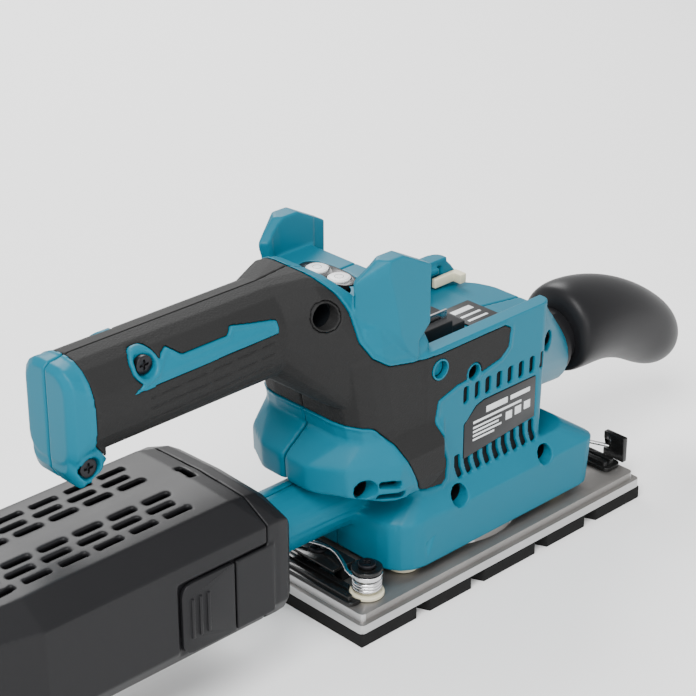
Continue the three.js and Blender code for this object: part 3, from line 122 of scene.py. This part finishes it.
def finish(name, colour, roughness, metallic=0.0, grain=0.5, depth=0.03, mottle=0.08, wear=0.05, shine=0.5):
    """A surface with a fine grain, a slight change of shade and of gloss from place to place.

    grain is the size of the grain and depth its height, both in millimetres.
    """
    material = bpy.data.materials.new(name)
    material.use_nodes = True
    nodes = material.node_tree.nodes
    link = material.node_tree.links.new
    shader = nodes["Principled BSDF"]
    shader.inputs["Metallic"].default_value = metallic
    shader.inputs["Specular IOR Level"].default_value = shine
    place = nodes.new("ShaderNodeTexCoord")
    broad = nodes.new("ShaderNodeTexNoise")
    broad.inputs["Scale"].default_value = 38
    broad.inputs["Detail"].default_value = 4
    link(place.outputs["Object"], broad.inputs["Vector"])
    shade = nodes.new("ShaderNodeMix")
    shade.data_type = "RGBA"
    shade.inputs["A"].default_value = (*[c * (1 - mottle) for c in colour], 1)
    shade.inputs["B"].default_value = (*[min(1, c * (1 + mottle)) for c in colour], 1)
    link(broad.outputs["Fac"], shade.inputs["Factor"])
    link(shade.outputs["Result"], shader.inputs["Base Color"])
    gloss = nodes.new("ShaderNodeMapRange")
    gloss.inputs["To Min"].default_value = roughness - wear
    gloss.inputs["To Max"].default_value = roughness + wear
    link(broad.outputs["Fac"], gloss.inputs["Value"])
    link(gloss.outputs["Result"], shader.inputs["Roughness"])
    fine = nodes.new("ShaderNodeTexNoise")
    fine.inputs["Scale"].default_value = 1 / (grain * MM)
    fine.inputs["Detail"].default_value = 2
    link(place.outputs["Object"], fine.inputs["Vector"])
    bump = nodes.new("ShaderNodeBump")
    bump.inputs["Strength"].default_value = 0.6
    bump.inputs["Distance"].default_value = depth * MM
    link(fine.outputs["Fac"], bump.inputs["Height"])
    link(bump.outputs["Normal"], shader.inputs["Normal"])
    return material


def soften(piece, low, high, spare_low, spare_high, passes):
    """Rounds one box of the skin further and leaves a smaller box in it as it is."""
    group = piece.vertex_groups.new(name="soft")
    chosen = [v.index for v in piece.data.vertices
              if all(a < c < b for a, c, b in zip(low, v.co, high))
              and not all(a < c < b for a, c, b in zip(spare_low, (v.co.x, abs(v.co.y), v.co.z), spare_high))]
    group.add(chosen, 1.0, "REPLACE")
    add_and_apply(piece, "SMOOTH", factor=0.5, iterations=passes, vertex_group="soft")
    piece.vertex_groups.clear()


teal_nylon = finish("teal_nylon", (0.0, 0.112, 0.172), 0.42, grain=0.6, depth=0.03, mottle=0.03, shine=0.16)
charcoal_rubber = finish("charcoal_rubber", (0.011, 0.011, 0.011), 0.66, grain=0.8, depth=0.4, mottle=0.15,
                         shine=0.2)
# the shoulder well's rim is in the overmould's colour
shoulder_well = Vector((-91.5 * MM, 148.5 * MM))
# the motor block is rounded further, save round its own well and slots
block_box = ((-0.125, -0.05, 0.034), (-0.037, 0.05, 0.088))
slot_box = ((-0.085, 0.02, 0.058), (-0.056, 0.05, 0.074))
for side in ("right", "left"):
    shell = moulded(f"housing_{side}", f"shell_{side}", 0.6 * MM, 4)
    soften(shell, *block_box, *slot_box, 36)
    shell.data.materials.append(teal_nylon)
    shell.data.materials.append(charcoal_rubber)
    for face in shell.data.polygons:
        off_axis = (Vector((face.center.x, face.center.z)) - shoulder_well).length
        face.material_index = 1 if off_axis < 7.0 * MM and abs(face.center.y) > 11 * MM else 0
    stands_for(shell, f"housing_{side}")

# ------------------------------------------------------------------ soft overmould
# Charcoal thermoplastic rubber shot into a recess of the shells over the bar handle, the
# shoulder and the strip beside the battery.  It is matt and pebbled where the hand holds it.
for side in ("right", "left"):
    skin = moulded(f"overmould_{side}", f"soft_skin_{side}", 0.5 * MM, 3)
    skin.data.materials.append(charcoal_rubber)
    stands_for(skin, f"overmould_{side}")

# ------------------------------------------------------------------ well linings of painted shade
# Near-black cups of painted shade stand in the deep screw wells of both sides, where shade falls.
# Each is a thin cup whose open mouth lies under the skin.  One well in the soft skin also has a teal eyelet.
# painted shade: this near-black colours the cups in the wells and the sheets behind the vents
painted_shade_black = finish("painted_shade_black", (0.003, 0.004, 0.005), 0.6, grain=0.5, depth=0.02, mottle=0.03,
                      shine=0.1)
# across X, up Z, radius, and the distances of mouth and floor from the middle plane, in mm
WELLS = ((-36.5, 110.0, 4.1, 34.0, 31.4), (-15.0, 101.0, 3.6, 33.8, 30.4), (-78.0, 66.5, 4.4, 29.6, 25.4),
         (-25.6, 45.2, 5.0, 34.6, 25.4), (30.3, 44.5, 4.6, 35.0, 25.4), (38.5, 96.5, 4.2, 28.6, 20.4),
         (-91.5, 148.5, 5.6, 20.8, 12.4))


def sleeve(name, x, z, radius, mouth_y, floor_y, wall, material):
    """A round cup lying along Y with its mouth outwards."""
    let_go()
    bpy.ops.mesh.primitive_cylinder_add(vertices=32, radius=radius, depth=abs(mouth_y - floor_y),
                                        location=(x, (mouth_y + floor_y) / 2, z), rotation=(pi / 2, 0, 0))
    cup = bpy.context.object
    cup.name = name
    bpy.ops.object.transform_apply(location=True, rotation=True, scale=True)
    bpy.ops.object.mode_set(mode="EDIT")
    bpy.ops.mesh.select_mode(type="FACE")
    bpy.ops.mesh.select_all(action="DESELECT")
    bpy.ops.object.mode_set(mode="OBJECT")
    for face in cup.data.polygons:
        face.select = face.normal.y * mouth_y > 0.5 * abs(mouth_y)
    bpy.ops.object.mode_set(mode="EDIT")
    bpy.ops.mesh.inset(thickness=wall)
    depth = (floor_y - mouth_y) * 0.93
    bpy.ops.mesh.extrude_region_move(TRANSFORM_OT_translate={"value": (0, depth, 0)})
    bpy.ops.mesh.select_all(action="SELECT")
    bpy.ops.mesh.normals_make_consistent(inside=False)
    bpy.ops.object.mode_set(mode="OBJECT")
    smooth(cup, 40)
    cup.data.materials.append(material)
    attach(cup, "housing")


# each well gets a near-black cup of painted shade on both sides
for number, (x, z, radius, mouth, bottom) in enumerate(WELLS):
    for way, side in ((-1, "right"), (1, "left")):
        sleeve(f"well_painted_shade_{number}_{side}", x * MM, z * MM, (radius - 0.35) * MM,
               way * mouth * MM, way * bottom * MM, 0.35 * MM, painted_shade_black)
# the well in the middle of the soft skin has a teal eyelet
for way, side in ((-1, "right"), (1, "left")):
    sleeve(f"well_eyelet_{side}", -36.5 * MM, 110.0 * MM, 4.8 * MM, way * 36.35 * MM, way * 33.6 * MM,
           0.75 * MM, teal_nylon)

# ------------------------------------------------------------------ painted shade behind the vents
# A near-black sheet of painted shade stands in the wall across each row of vents, where the inside of
# the housing lies in shade, and hides the motor from outside.
for row, x0, x1, z0, z1 in (("upper", -22.5, 31.0, 86.6, 96.6), ("lower", -27.5, 29.0, 50.5, 65.0)):
    for way, side in ((-1, "right"), (1, "left")):
        let_go()
        middle = ((x0 + x1) / 2 * MM, way * 34.2 * MM, (z0 + z1) / 2 * MM)
        size = ((x1 - x0) * MM, 0.8 * MM, (z1 - z0) * MM)
        bpy.ops.mesh.primitive_cube_add(size=1, location=middle, scale=size)
        painted_shade_sheet = bpy.context.object
        painted_shade_sheet.name = f"vent_baffle_{row}_{side}"
        bpy.ops.object.transform_apply(location=True, rotation=True, scale=True)
        add_and_apply(painted_shade_sheet, "BEVEL", width=0.2 * MM, segments=2, limit_method="ANGLE")
        smooth(painted_shade_sheet)
        # the sheet's near-black is painted shade
        painted_shade_sheet.data.materials.append(painted_shade_black)
        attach(painted_shade_sheet, "housing")

# ------------------------------------------------------------------ housing screws
# Black-oxide pan-head thread-forming screws with a cross recess, sunk in moulded wells and
# driven from the right half into bosses of the left one.


def eased(node, name, width, segments=2, keep=30):
    """The node's shape with flat faces made whole and a small radius on each edge."""
    piece = copy_of(node, name)
    bpy.ops.object.mode_set(mode="EDIT")
    bpy.ops.mesh.select_all(action="SELECT")
    bpy.ops.mesh.dissolve_limited(angle_limit=radians(0.5))
    bpy.ops.object.mode_set(mode="OBJECT")
    add_and_apply(piece, "BEVEL", width=width, segments=segments, limit_method="ANGLE",
                  angle_limit=radians(keep))
    smooth(piece, 40)
    return piece


black_oxide = finish("black_oxide", (0.02, 0.02, 0.023), 0.36, metallic=0.8, grain=0.3, depth=0.01)
for name in ("handle", "tail", "shoulder", "rear", "front"):
    screw = eased(f"screw_{name}", f"{name}_screw", 0.2 * MM, 2)
    screw.data.materials.append(black_oxide)
    stands_for(screw, f"screw_{name}")

# ------------------------------------------------------------------ rating label
# A printed foil in a shallow recess on the right side.  The print is plain: two wide bars
# over short lines, and three blocks beside them.
label_foil = finish("label_foil", (0.012, 0.012, 0.013), 0.35, grain=0.4, depth=0.004, mottle=0.03, shine=0.3)
label_ink = finish("label_ink", (0.62, 0.64, 0.65), 0.4, grain=0.4, depth=0.003, mottle=0.03)
label = eased("rating_label", "label_plate", 0.12 * MM)
label.data.materials.append(label_foil)
stands_for(label, "rating_label")


def bar(name, low, high, material, body):
    """A thin printed or moulded bar between two corners."""
    let_go()
    size = [b - a for a, b in zip(low, high)]
    middle = [(a + b) / 2 for a, b in zip(low, high)]
    bpy.ops.mesh.primitive_cube_add(size=1, location=middle, scale=size)
    piece = bpy.context.object
    piece.name = name
    bpy.ops.object.transform_apply(location=True, rotation=True, scale=True)
    add_and_apply(piece, "BEVEL", width=min(size) * 0.25, segments=2, limit_method="ANGLE")
    smooth(piece)
    piece.data.materials.append(material)
    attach(piece, body)
    return piece


label_low, label_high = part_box("rating_label")
# each bar's lower and upper edge and its two ends, as shares of the label's height and width
print_rows = [(0.73, 0.85, 0.30, 0.60), (0.75, 0.84, 0.64, 0.92), (0.61, 0.66, 0.12, 0.80),
              (0.51, 0.55, 0.12, 0.52), (0.43, 0.47, 0.12, 0.48), (0.35, 0.39, 0.12, 0.52),
              (0.27, 0.31, 0.12, 0.42), (0.38, 0.54, 0.58, 0.67), (0.40, 0.56, 0.71, 0.80),
              (0.42, 0.58, 0.84, 0.93)]
for number, (z0, z1, x0, x1) in enumerate(print_rows):
    width = label_high[0] - label_low[0]
    height = label_high[2] - label_low[2]
    bar(f"label_print_{number}",
        (label_low[0] + x0 * width, label_low[1] - 0.02 * MM, label_low[2] + z0 * height),
        (label_low[0] + x1 * width, label_low[1] + 0.05 * MM, label_low[2] + z1 * height),
        label_ink, "housing")

# ------------------------------------------------------------------ front grip
# A bent pear-shaped grip of black nylon with a satin skin, moulded round a steel insert and
# held on the nose by one long bolt.
satin_black = finish("satin_black", (0.008, 0.008, 0.009), 0.40, grain=0.7, depth=0.05, mottle=0.05,
                     shine=0.18)
grip_low, grip_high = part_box("front_grip")
grip_start = grip_low[0]
# along X from the collar, up Z, and the radius
grip_stations = [
    (0.0, 76.0, 16.8), (0.5, 76.1, 17.6), (1.8, 76.8, 20.4), (5.0, 78.0, 21.8), (13.0, 78.1, 22.2),
    (26.0, 76.5, 21.4), (39.0, 72.6, 20.3), (51.0, 67.2, 19.4), (61.0, 61.4, 18.5), (70.0, 55.0, 17.7),
    (77.5, 48.8, 15.2), (82.0, 45.0, 11.2), (84.2, 43.3, 6.2), (84.9, 42.8, 1.4)]


def round_bar(name, stations, sides, start_x, upright):
    """Circle after circle pulled out along a bent line: (distance, height, radius) in mm.

    The first ones, up to the upright distance, don't lean.
    """
    let_go()
    first = stations[0]
    bpy.ops.mesh.primitive_circle_add(vertices=sides, radius=first[2] * MM, fill_type="NGON",
                                      location=(start_x, 0, first[1] * MM), rotation=(0, pi / 2, 0))
    piece = bpy.context.object
    piece.name = name
    bpy.ops.object.transform_apply(location=True, rotation=True, scale=True)
    bpy.ops.object.mode_set(mode="EDIT")
    bpy.ops.mesh.select_all(action="SELECT")
    lean = 0.0
    for before, here, after in zip(stations, stations[1:], stations[2:] + stations[-1:]):
        step = Vector(((here[0] - before[0]) * MM, 0, (here[1] - before[1]) * MM))
        bpy.ops.mesh.extrude_region_move(TRANSFORM_OT_translate={"value": step})
        centre = (start_x + here[0] * MM, 0, here[1] * MM)
        bpy.ops.transform.resize(value=[here[2] / before[2]] * 3, center_override=centre)
        run = Vector((after[0] - before[0], after[1] - before[1]))
        wanted = -run.angle_signed(Vector((1, 0))) if run.length and here[0] > upright else lean
        bpy.ops.transform.rotate(value=lean - wanted, orient_axis="Y", center_override=centre)
        lean = wanted
    bpy.ops.mesh.select_all(action="SELECT")
    bpy.ops.mesh.normals_make_consistent(inside=False)
    bpy.ops.object.mode_set(mode="OBJECT")
    return piece


grip = round_bar("grip_handle", grip_stations, 48, grip_start, 10)
add_and_apply(grip, "SUBSURF", levels=2, render_levels=2)
hold(grip)
bpy.ops.object.shade_smooth()
grip.data.materials.append(satin_black)
stands_for(grip, "front_grip")

# ------------------------------------------------------------------ grip collar and bolt
# A flanged black washer keys the grip to the nose; the bolt runs through it from inside.
collar = eased("grip_collar", "nose_collar", 0.6 * MM, 3)
collar.data.materials.append(satin_black)
stands_for(collar, "grip_collar")
ground_steel = finish("ground_steel", (0.62, 0.62, 0.63), 0.24, metallic=1.0, grain=0.3, depth=0.01,
                      mottle=0.05)
grip_bolt = eased("grip_bolt", "long_bolt", 0.2 * MM)
grip_bolt.data.materials.append(ground_steel)
stands_for(grip_bolt, "grip_bolt")

# ------------------------------------------------------------------ control panel and buttons
# A glossy black oval set in the top of the shoulder with two round white push buttons; one
# switches the motor and the other steps through its speeds.  The board sits underneath.
panel_gloss = finish("panel_gloss", (0.008, 0.008, 0.009), 0.25, grain=0.4, depth=0.004, mottle=0.03,
                     shine=0.3)
button_white = finish("button_white", (0.74, 0.75, 0.75), 0.3, grain=0.4, depth=0.006, mottle=0.02)
panel = eased("control_panel", "panel_oval", 0.35 * MM, 3)
panel.data.materials.append(panel_gloss)
stands_for(panel, "control_panel")
mark_grey = finish("mark_grey", (0.12, 0.13, 0.14), 0.4, grain=0.4, depth=0.003, mottle=0.03)
for name in ("power", "speed"):
    button = eased(f"{name}_button", f"{name}_push", 0.3 * MM, 3)
    button.data.materials.append(button_white)
    stands_for(button, f"{name}_button")
    low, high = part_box(f"{name}_button")
    x = (low[0] + high[0]) / 2
    y = (low[1] + high[1]) / 2
    let_go()
    bpy.ops.mesh.primitive_torus_add(major_radius=1.9 * MM, minor_radius=0.16 * MM, major_segments=40,
                                     minor_segments=8, location=(x, y, high[2] - 0.08 * MM))
    mark = bpy.context.object
    mark.name = f"{name}_mark"
    bpy.ops.object.transform_apply(location=True, rotation=True, scale=True)
    mark.data.materials.append(mark_grey)
    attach(mark, f"{name}_button")
board_green = finish("board_green", (0.02, 0.16, 0.08), 0.5, grain=0.5, depth=0.02)
switch_board = eased("switch_board", "button_board", 0.15 * MM)
switch_board.data.materials.append(board_green)
stands_for(switch_board, "switch_board")

# ------------------------------------------------------------------ battery bay
# A slide-in battery is held by two rails; this is what it meets.  The black block carries
# the blades, the cream damper stops rattle, and a small printed plate lies on the floor.
block_black = finish("block_black", (0.010, 0.010, 0.011), 0.5, grain=0.5, depth=0.03, mottle=0.05,
                     shine=0.25)
terminal_block = eased("terminal_block", "contact_block", 0.4 * MM)
terminal_block.data.materials.append(block_black)
stands_for(terminal_block, "terminal_block")
for side in ("left", "right"):
    blade = eased(f"terminal_blade_{side}", f"contact_blade_{side}", 0.15 * MM)
    blade.data.materials.append(ground_steel)
    stands_for(blade, f"terminal_blade_{side}")
bay_label = eased("bay_label", "bay_plate", 0.15 * MM)
bay_label.data.materials.append(block_black)
stands_for(bay_label, "bay_label")
plate_low, plate_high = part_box("bay_label")
for number, (y0, y1) in enumerate(((0.14, 0.22), (0.34, 0.40), (0.52, 0.58), (0.70, 0.84))):
    length = plate_high[1] - plate_low[1]
    breadth = plate_high[0] - plate_low[0]
    bar(f"bay_print_{number}",
        (plate_low[0] + 0.15 * breadth, plate_low[1] + y0 * length, plate_high[2] - 0.05 * MM),
        (plate_low[0] + 0.80 * breadth, plate_low[1] + y1 * length, plate_high[2] + 0.02 * MM),
        label_ink, "housing")
cream_rubber = finish("cream_rubber", (0.62, 0.58, 0.42), 0.5, grain=0.5, depth=0.02, mottle=0.04)
damper = eased("rail_damper", "bay_damper", 0.5 * MM, 3)
damper.data.materials.append(cream_rubber)
stands_for(damper, "rail_damper")
controller = eased("controller_board", "motor_controller", 0.3 * MM)
controller.data.materials.append(board_green)
stands_for(controller, "controller_board")

# ------------------------------------------------------------------ motor and drive
# A brushless motor stands in the column: laminated stator, rotor on a ground shaft between
# two ball bearings, a nylon fan, and the steel eccentric that swings the pad.
lacquered_copper = finish("lacquered_copper", (0.45, 0.19, 0.07), 0.35, metallic=0.7, grain=0.5, depth=0.05)
cast_alloy = finish("cast_alloy", (0.50, 0.50, 0.50), 0.42, metallic=0.9, grain=0.8, depth=0.05, mottle=0.1)
for node, name, material in (
        ("stator", "motor_stator", lacquered_copper), ("bearing_plate", "motor_plate", cast_alloy),
        ("lower_bearing", "bearing_low", ground_steel), ("upper_bearing", "bearing_high", ground_steel),
        ("motor_shaft", "drive_shaft", ground_steel), ("rotor_core", "motor_rotor", black_oxide),
        ("cooling_fan", "blower_fan", button_white), ("eccentric_weight", "drive_eccentric", ground_steel),
        ("pad_bearing", "orbit_bearing", ground_steel)):
    inner = eased(node, name, 0.25 * MM)
    inner.data.materials.append(material)
    stands_for(inner, node)
felt_grey = finish("felt_grey", (0.5, 0.48, 0.42), 0.9, grain=0.5, depth=0.2, mottle=0.12)
skirt = eased("dust_skirt", "hub_skirt", 0.4 * MM)
skirt.data.materials.append(felt_grey)
stands_for(skirt, "dust_skirt")

# ------------------------------------------------------------------ base plate
# Die-cast aluminium, blasted grey on top, with its stepped rim machined bright.
plate_metal = finish("plate_metal", (0.26, 0.25, 0.24), 0.46, metallic=0.85, grain=0.9, depth=0.09,
                     mottle=0.18, wear=0.1)
plate = eased("base_plate", "alloy_plate", 0.35 * MM, 3)
plate.data.materials.append(plate_metal)
plate.data.materials.append(cast_alloy)
for face in plate.data.polygons:
    upright = abs(face.normal.z) < 0.9
    face.material_index = 1 if upright and abs(face.center.y) + abs(face.center.x) > 45 * MM else 0
stands_for(plate, "base_plate")

# ------------------------------------------------------------------ foam pad
# Closed-cell rubber foam glued to the plate's underside, notched along both edges so that
# dust can leave.  The abrasive sheet lies against it.
pad_foam = finish("pad_foam", (0.008, 0.008, 0.008), 0.88, grain=0.8, depth=0.25, mottle=0.2, shine=0.15)
foam = eased("foam_pad", "sole_foam", 0.5 * MM, 3)
foam.data.materials.append(pad_foam)
stands_for(foam, "foam_pad")

# ------------------------------------------------------------------ pillars
# Four elastic feet in cream polyurethane between the plate and the housing.
for corner in ("rear_right", "rear_left", "front_right", "front_left"):
    foot = eased(f"pillar_{corner}", f"elastic_foot_{corner}", 0.6 * MM, 3)
    foot.data.materials.append(cream_rubber)
    stands_for(foot, f"pillar_{corner}")

# ------------------------------------------------------------------ paper clamps
# At each end a sprung wire lever presses a ribbed bar onto the sheet's edge.  The wire is
# wound round a cream post as a coil, crosses the plate and ends in a black finger tab.
spring_wire = finish("spring_wire", (0.68, 0.68, 0.69), 0.2, metallic=1.0, grain=0.3, depth=0.005,
                     mottle=0.04)
clamp_black = finish("clamp_black", (0.006, 0.006, 0.006), 0.22, grain=0.4, depth=0.01, mottle=0.04,
                     shine=0.4)
for end in ("rear", "front"):
    for node, name, material, width in (
            ("clamp_post", "clamp_pillar", cream_rubber, 0.4),
            ("post_washer", "clamp_washer", clamp_black, 0.4),
            ("post_screw", "clamp_screw", black_oxide, 0.3), ("lever_cap", "finger_tab", clamp_black, 0.5),
            ("clamp_bar", "paper_bar", clamp_black, 0.35), ("clamp_plate", "clamp_cover", clamp_black, 0.5)):
        piece = eased(f"{end}_{node}", f"{end}_{name}", width * MM, 3)
        piece.data.materials.append(material)
        stands_for(piece, f"{end}_{node}")
    lever = moulded(f"{end}_clamp_lever", f"{end}_wire_lever", 0.25 * MM, 4)
    lever.data.materials.append(spring_wire)
    stands_for(lever, f"{end}_clamp_lever")
    low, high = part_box(f"{end}_clamp_spring")
    centre_x = (low[0] + high[0]) / 2
    centre_y = (low[1] + high[1]) / 2
    wire_r = 1.05 * MM
    turns = 3
    coil_r = (high[0] - low[0]) / 2 - wire_r
    rise = (high[2] - low[2] - 2 * wire_r) / turns
    let_go()
    bpy.ops.mesh.primitive_circle_add(vertices=14, radius=wire_r, location=(coil_r, 0, wire_r),
                                      rotation=(pi / 2, 0, 0))
    coil = bpy.context.object
    coil.name = f"{end}_coil"
    bpy.ops.object.transform_apply(location=True, rotation=True, scale=True)
    add_and_apply(coil, "SCREW", axis="Z", angle=2 * pi, screw_offset=rise, iterations=turns,
                  steps=48, render_steps=48, use_merge_vertices=False)
    hold(coil)
    bpy.ops.object.mode_set(mode="EDIT")
    bpy.ops.mesh.select_all(action="SELECT")
    bpy.ops.mesh.fill_holes(sides=20)
    bpy.ops.mesh.select_all(action="SELECT")
    bpy.ops.mesh.normals_make_consistent(inside=False)
    bpy.ops.object.mode_set(mode="OBJECT")
    coil.location = (centre_x, centre_y, low[2])
    bpy.ops.object.transform_apply(location=True, rotation=True, scale=True)
    smooth(coil, 60)
    coil.data.materials.append(spring_wire)
    stands_for(coil, f"{end}_clamp_spring")
    cover_low, cover_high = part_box(f"{end}_clamp_plate")
    post_low, post_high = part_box(f"{end}_post_screw")
    holder = eased(f"{end}_post_screw", f"{end}_cover_screw", 0.3 * MM, 3)
    holder.data.materials.append(black_oxide)
    inward = 1 if end == "rear" else -1
    hold(holder)
    along = (cover_low[0] + cover_high[0] - post_low[0] - post_high[0]) / 2 + inward * MM
    across = -(post_low[1] + post_high[1]) / 2 - inward * MM
    bpy.ops.transform.translate(value=(along, across, cover_high[2] + 0.9 * MM - post_high[2]))
    bpy.ops.object.transform_apply(location=True, rotation=True, scale=True)
    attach(holder, "pad")

# ------------------------------------------------------------------ dust box
# A black ABS case that slides off its nozzle, with rows of vent slots in the lid, a pleated
# filter inside, and a ribbed latch on each side.
box_black = finish("box_black", (0.007, 0.007, 0.008), 0.42, grain=0.6, depth=0.03, mottle=0.06, shine=0.2)
case = moulded("dust_case", "box_case", 0.7 * MM, 4)
case.data.materials.append(box_black)
stands_for(case, "dust_case")
nozzle = moulded("dust_nozzle", "box_nozzle", 0.6 * MM, 4)
nozzle.data.materials.append(box_black)
stands_for(nozzle, "dust_nozzle")
for side in ("right", "left"):
    latch = eased(f"dust_latch_{side}", f"box_latch_{side}", 0.35 * MM, 3)
    latch.data.materials.append(box_black)
    stands_for(latch, f"dust_latch_{side}")
fleece_black = finish("fleece_black", (0.006, 0.006, 0.006), 0.9, grain=0.5, depth=0.1, mottle=0.08,
                      shine=0.05)
pleats = eased("dust_filter", "box_filter", 0.3 * MM)
pleats.data.materials.append(fleece_black)
stands_for(pleats, "dust_filter")

# ------------------------------------------------------------------ studio
# A pale floor that runs out of sight, three soft lights and an even sky.
let_go()
bpy.ops.mesh.primitive_plane_add(size=8, location=(0, 0, 0))
floor = bpy.context.object
floor.name = "studio_floor"
floor_paper = bpy.data.materials.new("floor_paper")
floor_paper.use_nodes = True
floor_shader = floor_paper.node_tree.nodes["Principled BSDF"]
floor_shader.inputs["Base Color"].default_value = (0.93, 0.93, 0.93, 1)
floor_shader.inputs["Roughness"].default_value = 0.7
floor.data.materials.append(floor_paper)

target = Vector((-0.03, 0, 0.08))


def soft_light(name, place, size, power):
    let_go()
    bpy.ops.object.light_add(type="AREA", location=place)
    lamp = bpy.context.object
    lamp.name = name
    lamp.data.shape = "DISK"
    lamp.data.size = size
    lamp.data.energy = power
    lamp.rotation_euler = (target - Vector(place)).to_track_quat("-Z", "Y").to_euler()


soft_light("key", (-0.9, -0.5, 1.3), 0.8, 30)
soft_light("fill", (-0.6, -1.5, 0.7), 1.2, 12)
soft_light("rim", (0.5, 1.1, 1.1), 0.9, 24)

world = bpy.data.worlds.new("studio_sky")
world.use_nodes = True
world.node_tree.nodes["Background"].inputs["Color"].default_value = (1, 1, 1, 1)
world.node_tree.nodes["Background"].inputs["Strength"].default_value = 1.0
bpy.context.scene.world = world

# ------------------------------------------------------------------ camera
# Behind the tool, to its right and above.
eye = Vector((-0.61840, -0.58759, 0.51487))
aim = Vector((0.10380, 0.16729, 0.0))
let_go()
bpy.ops.object.camera_add(location=eye, rotation=(aim - eye).to_track_quat("-Z", "Y").to_euler())
camera = bpy.context.object
camera.data.sensor_width = 36
camera.data.lens = 109.56
camera.data.clip_start = 0.01
bpy.context.scene.camera = camera
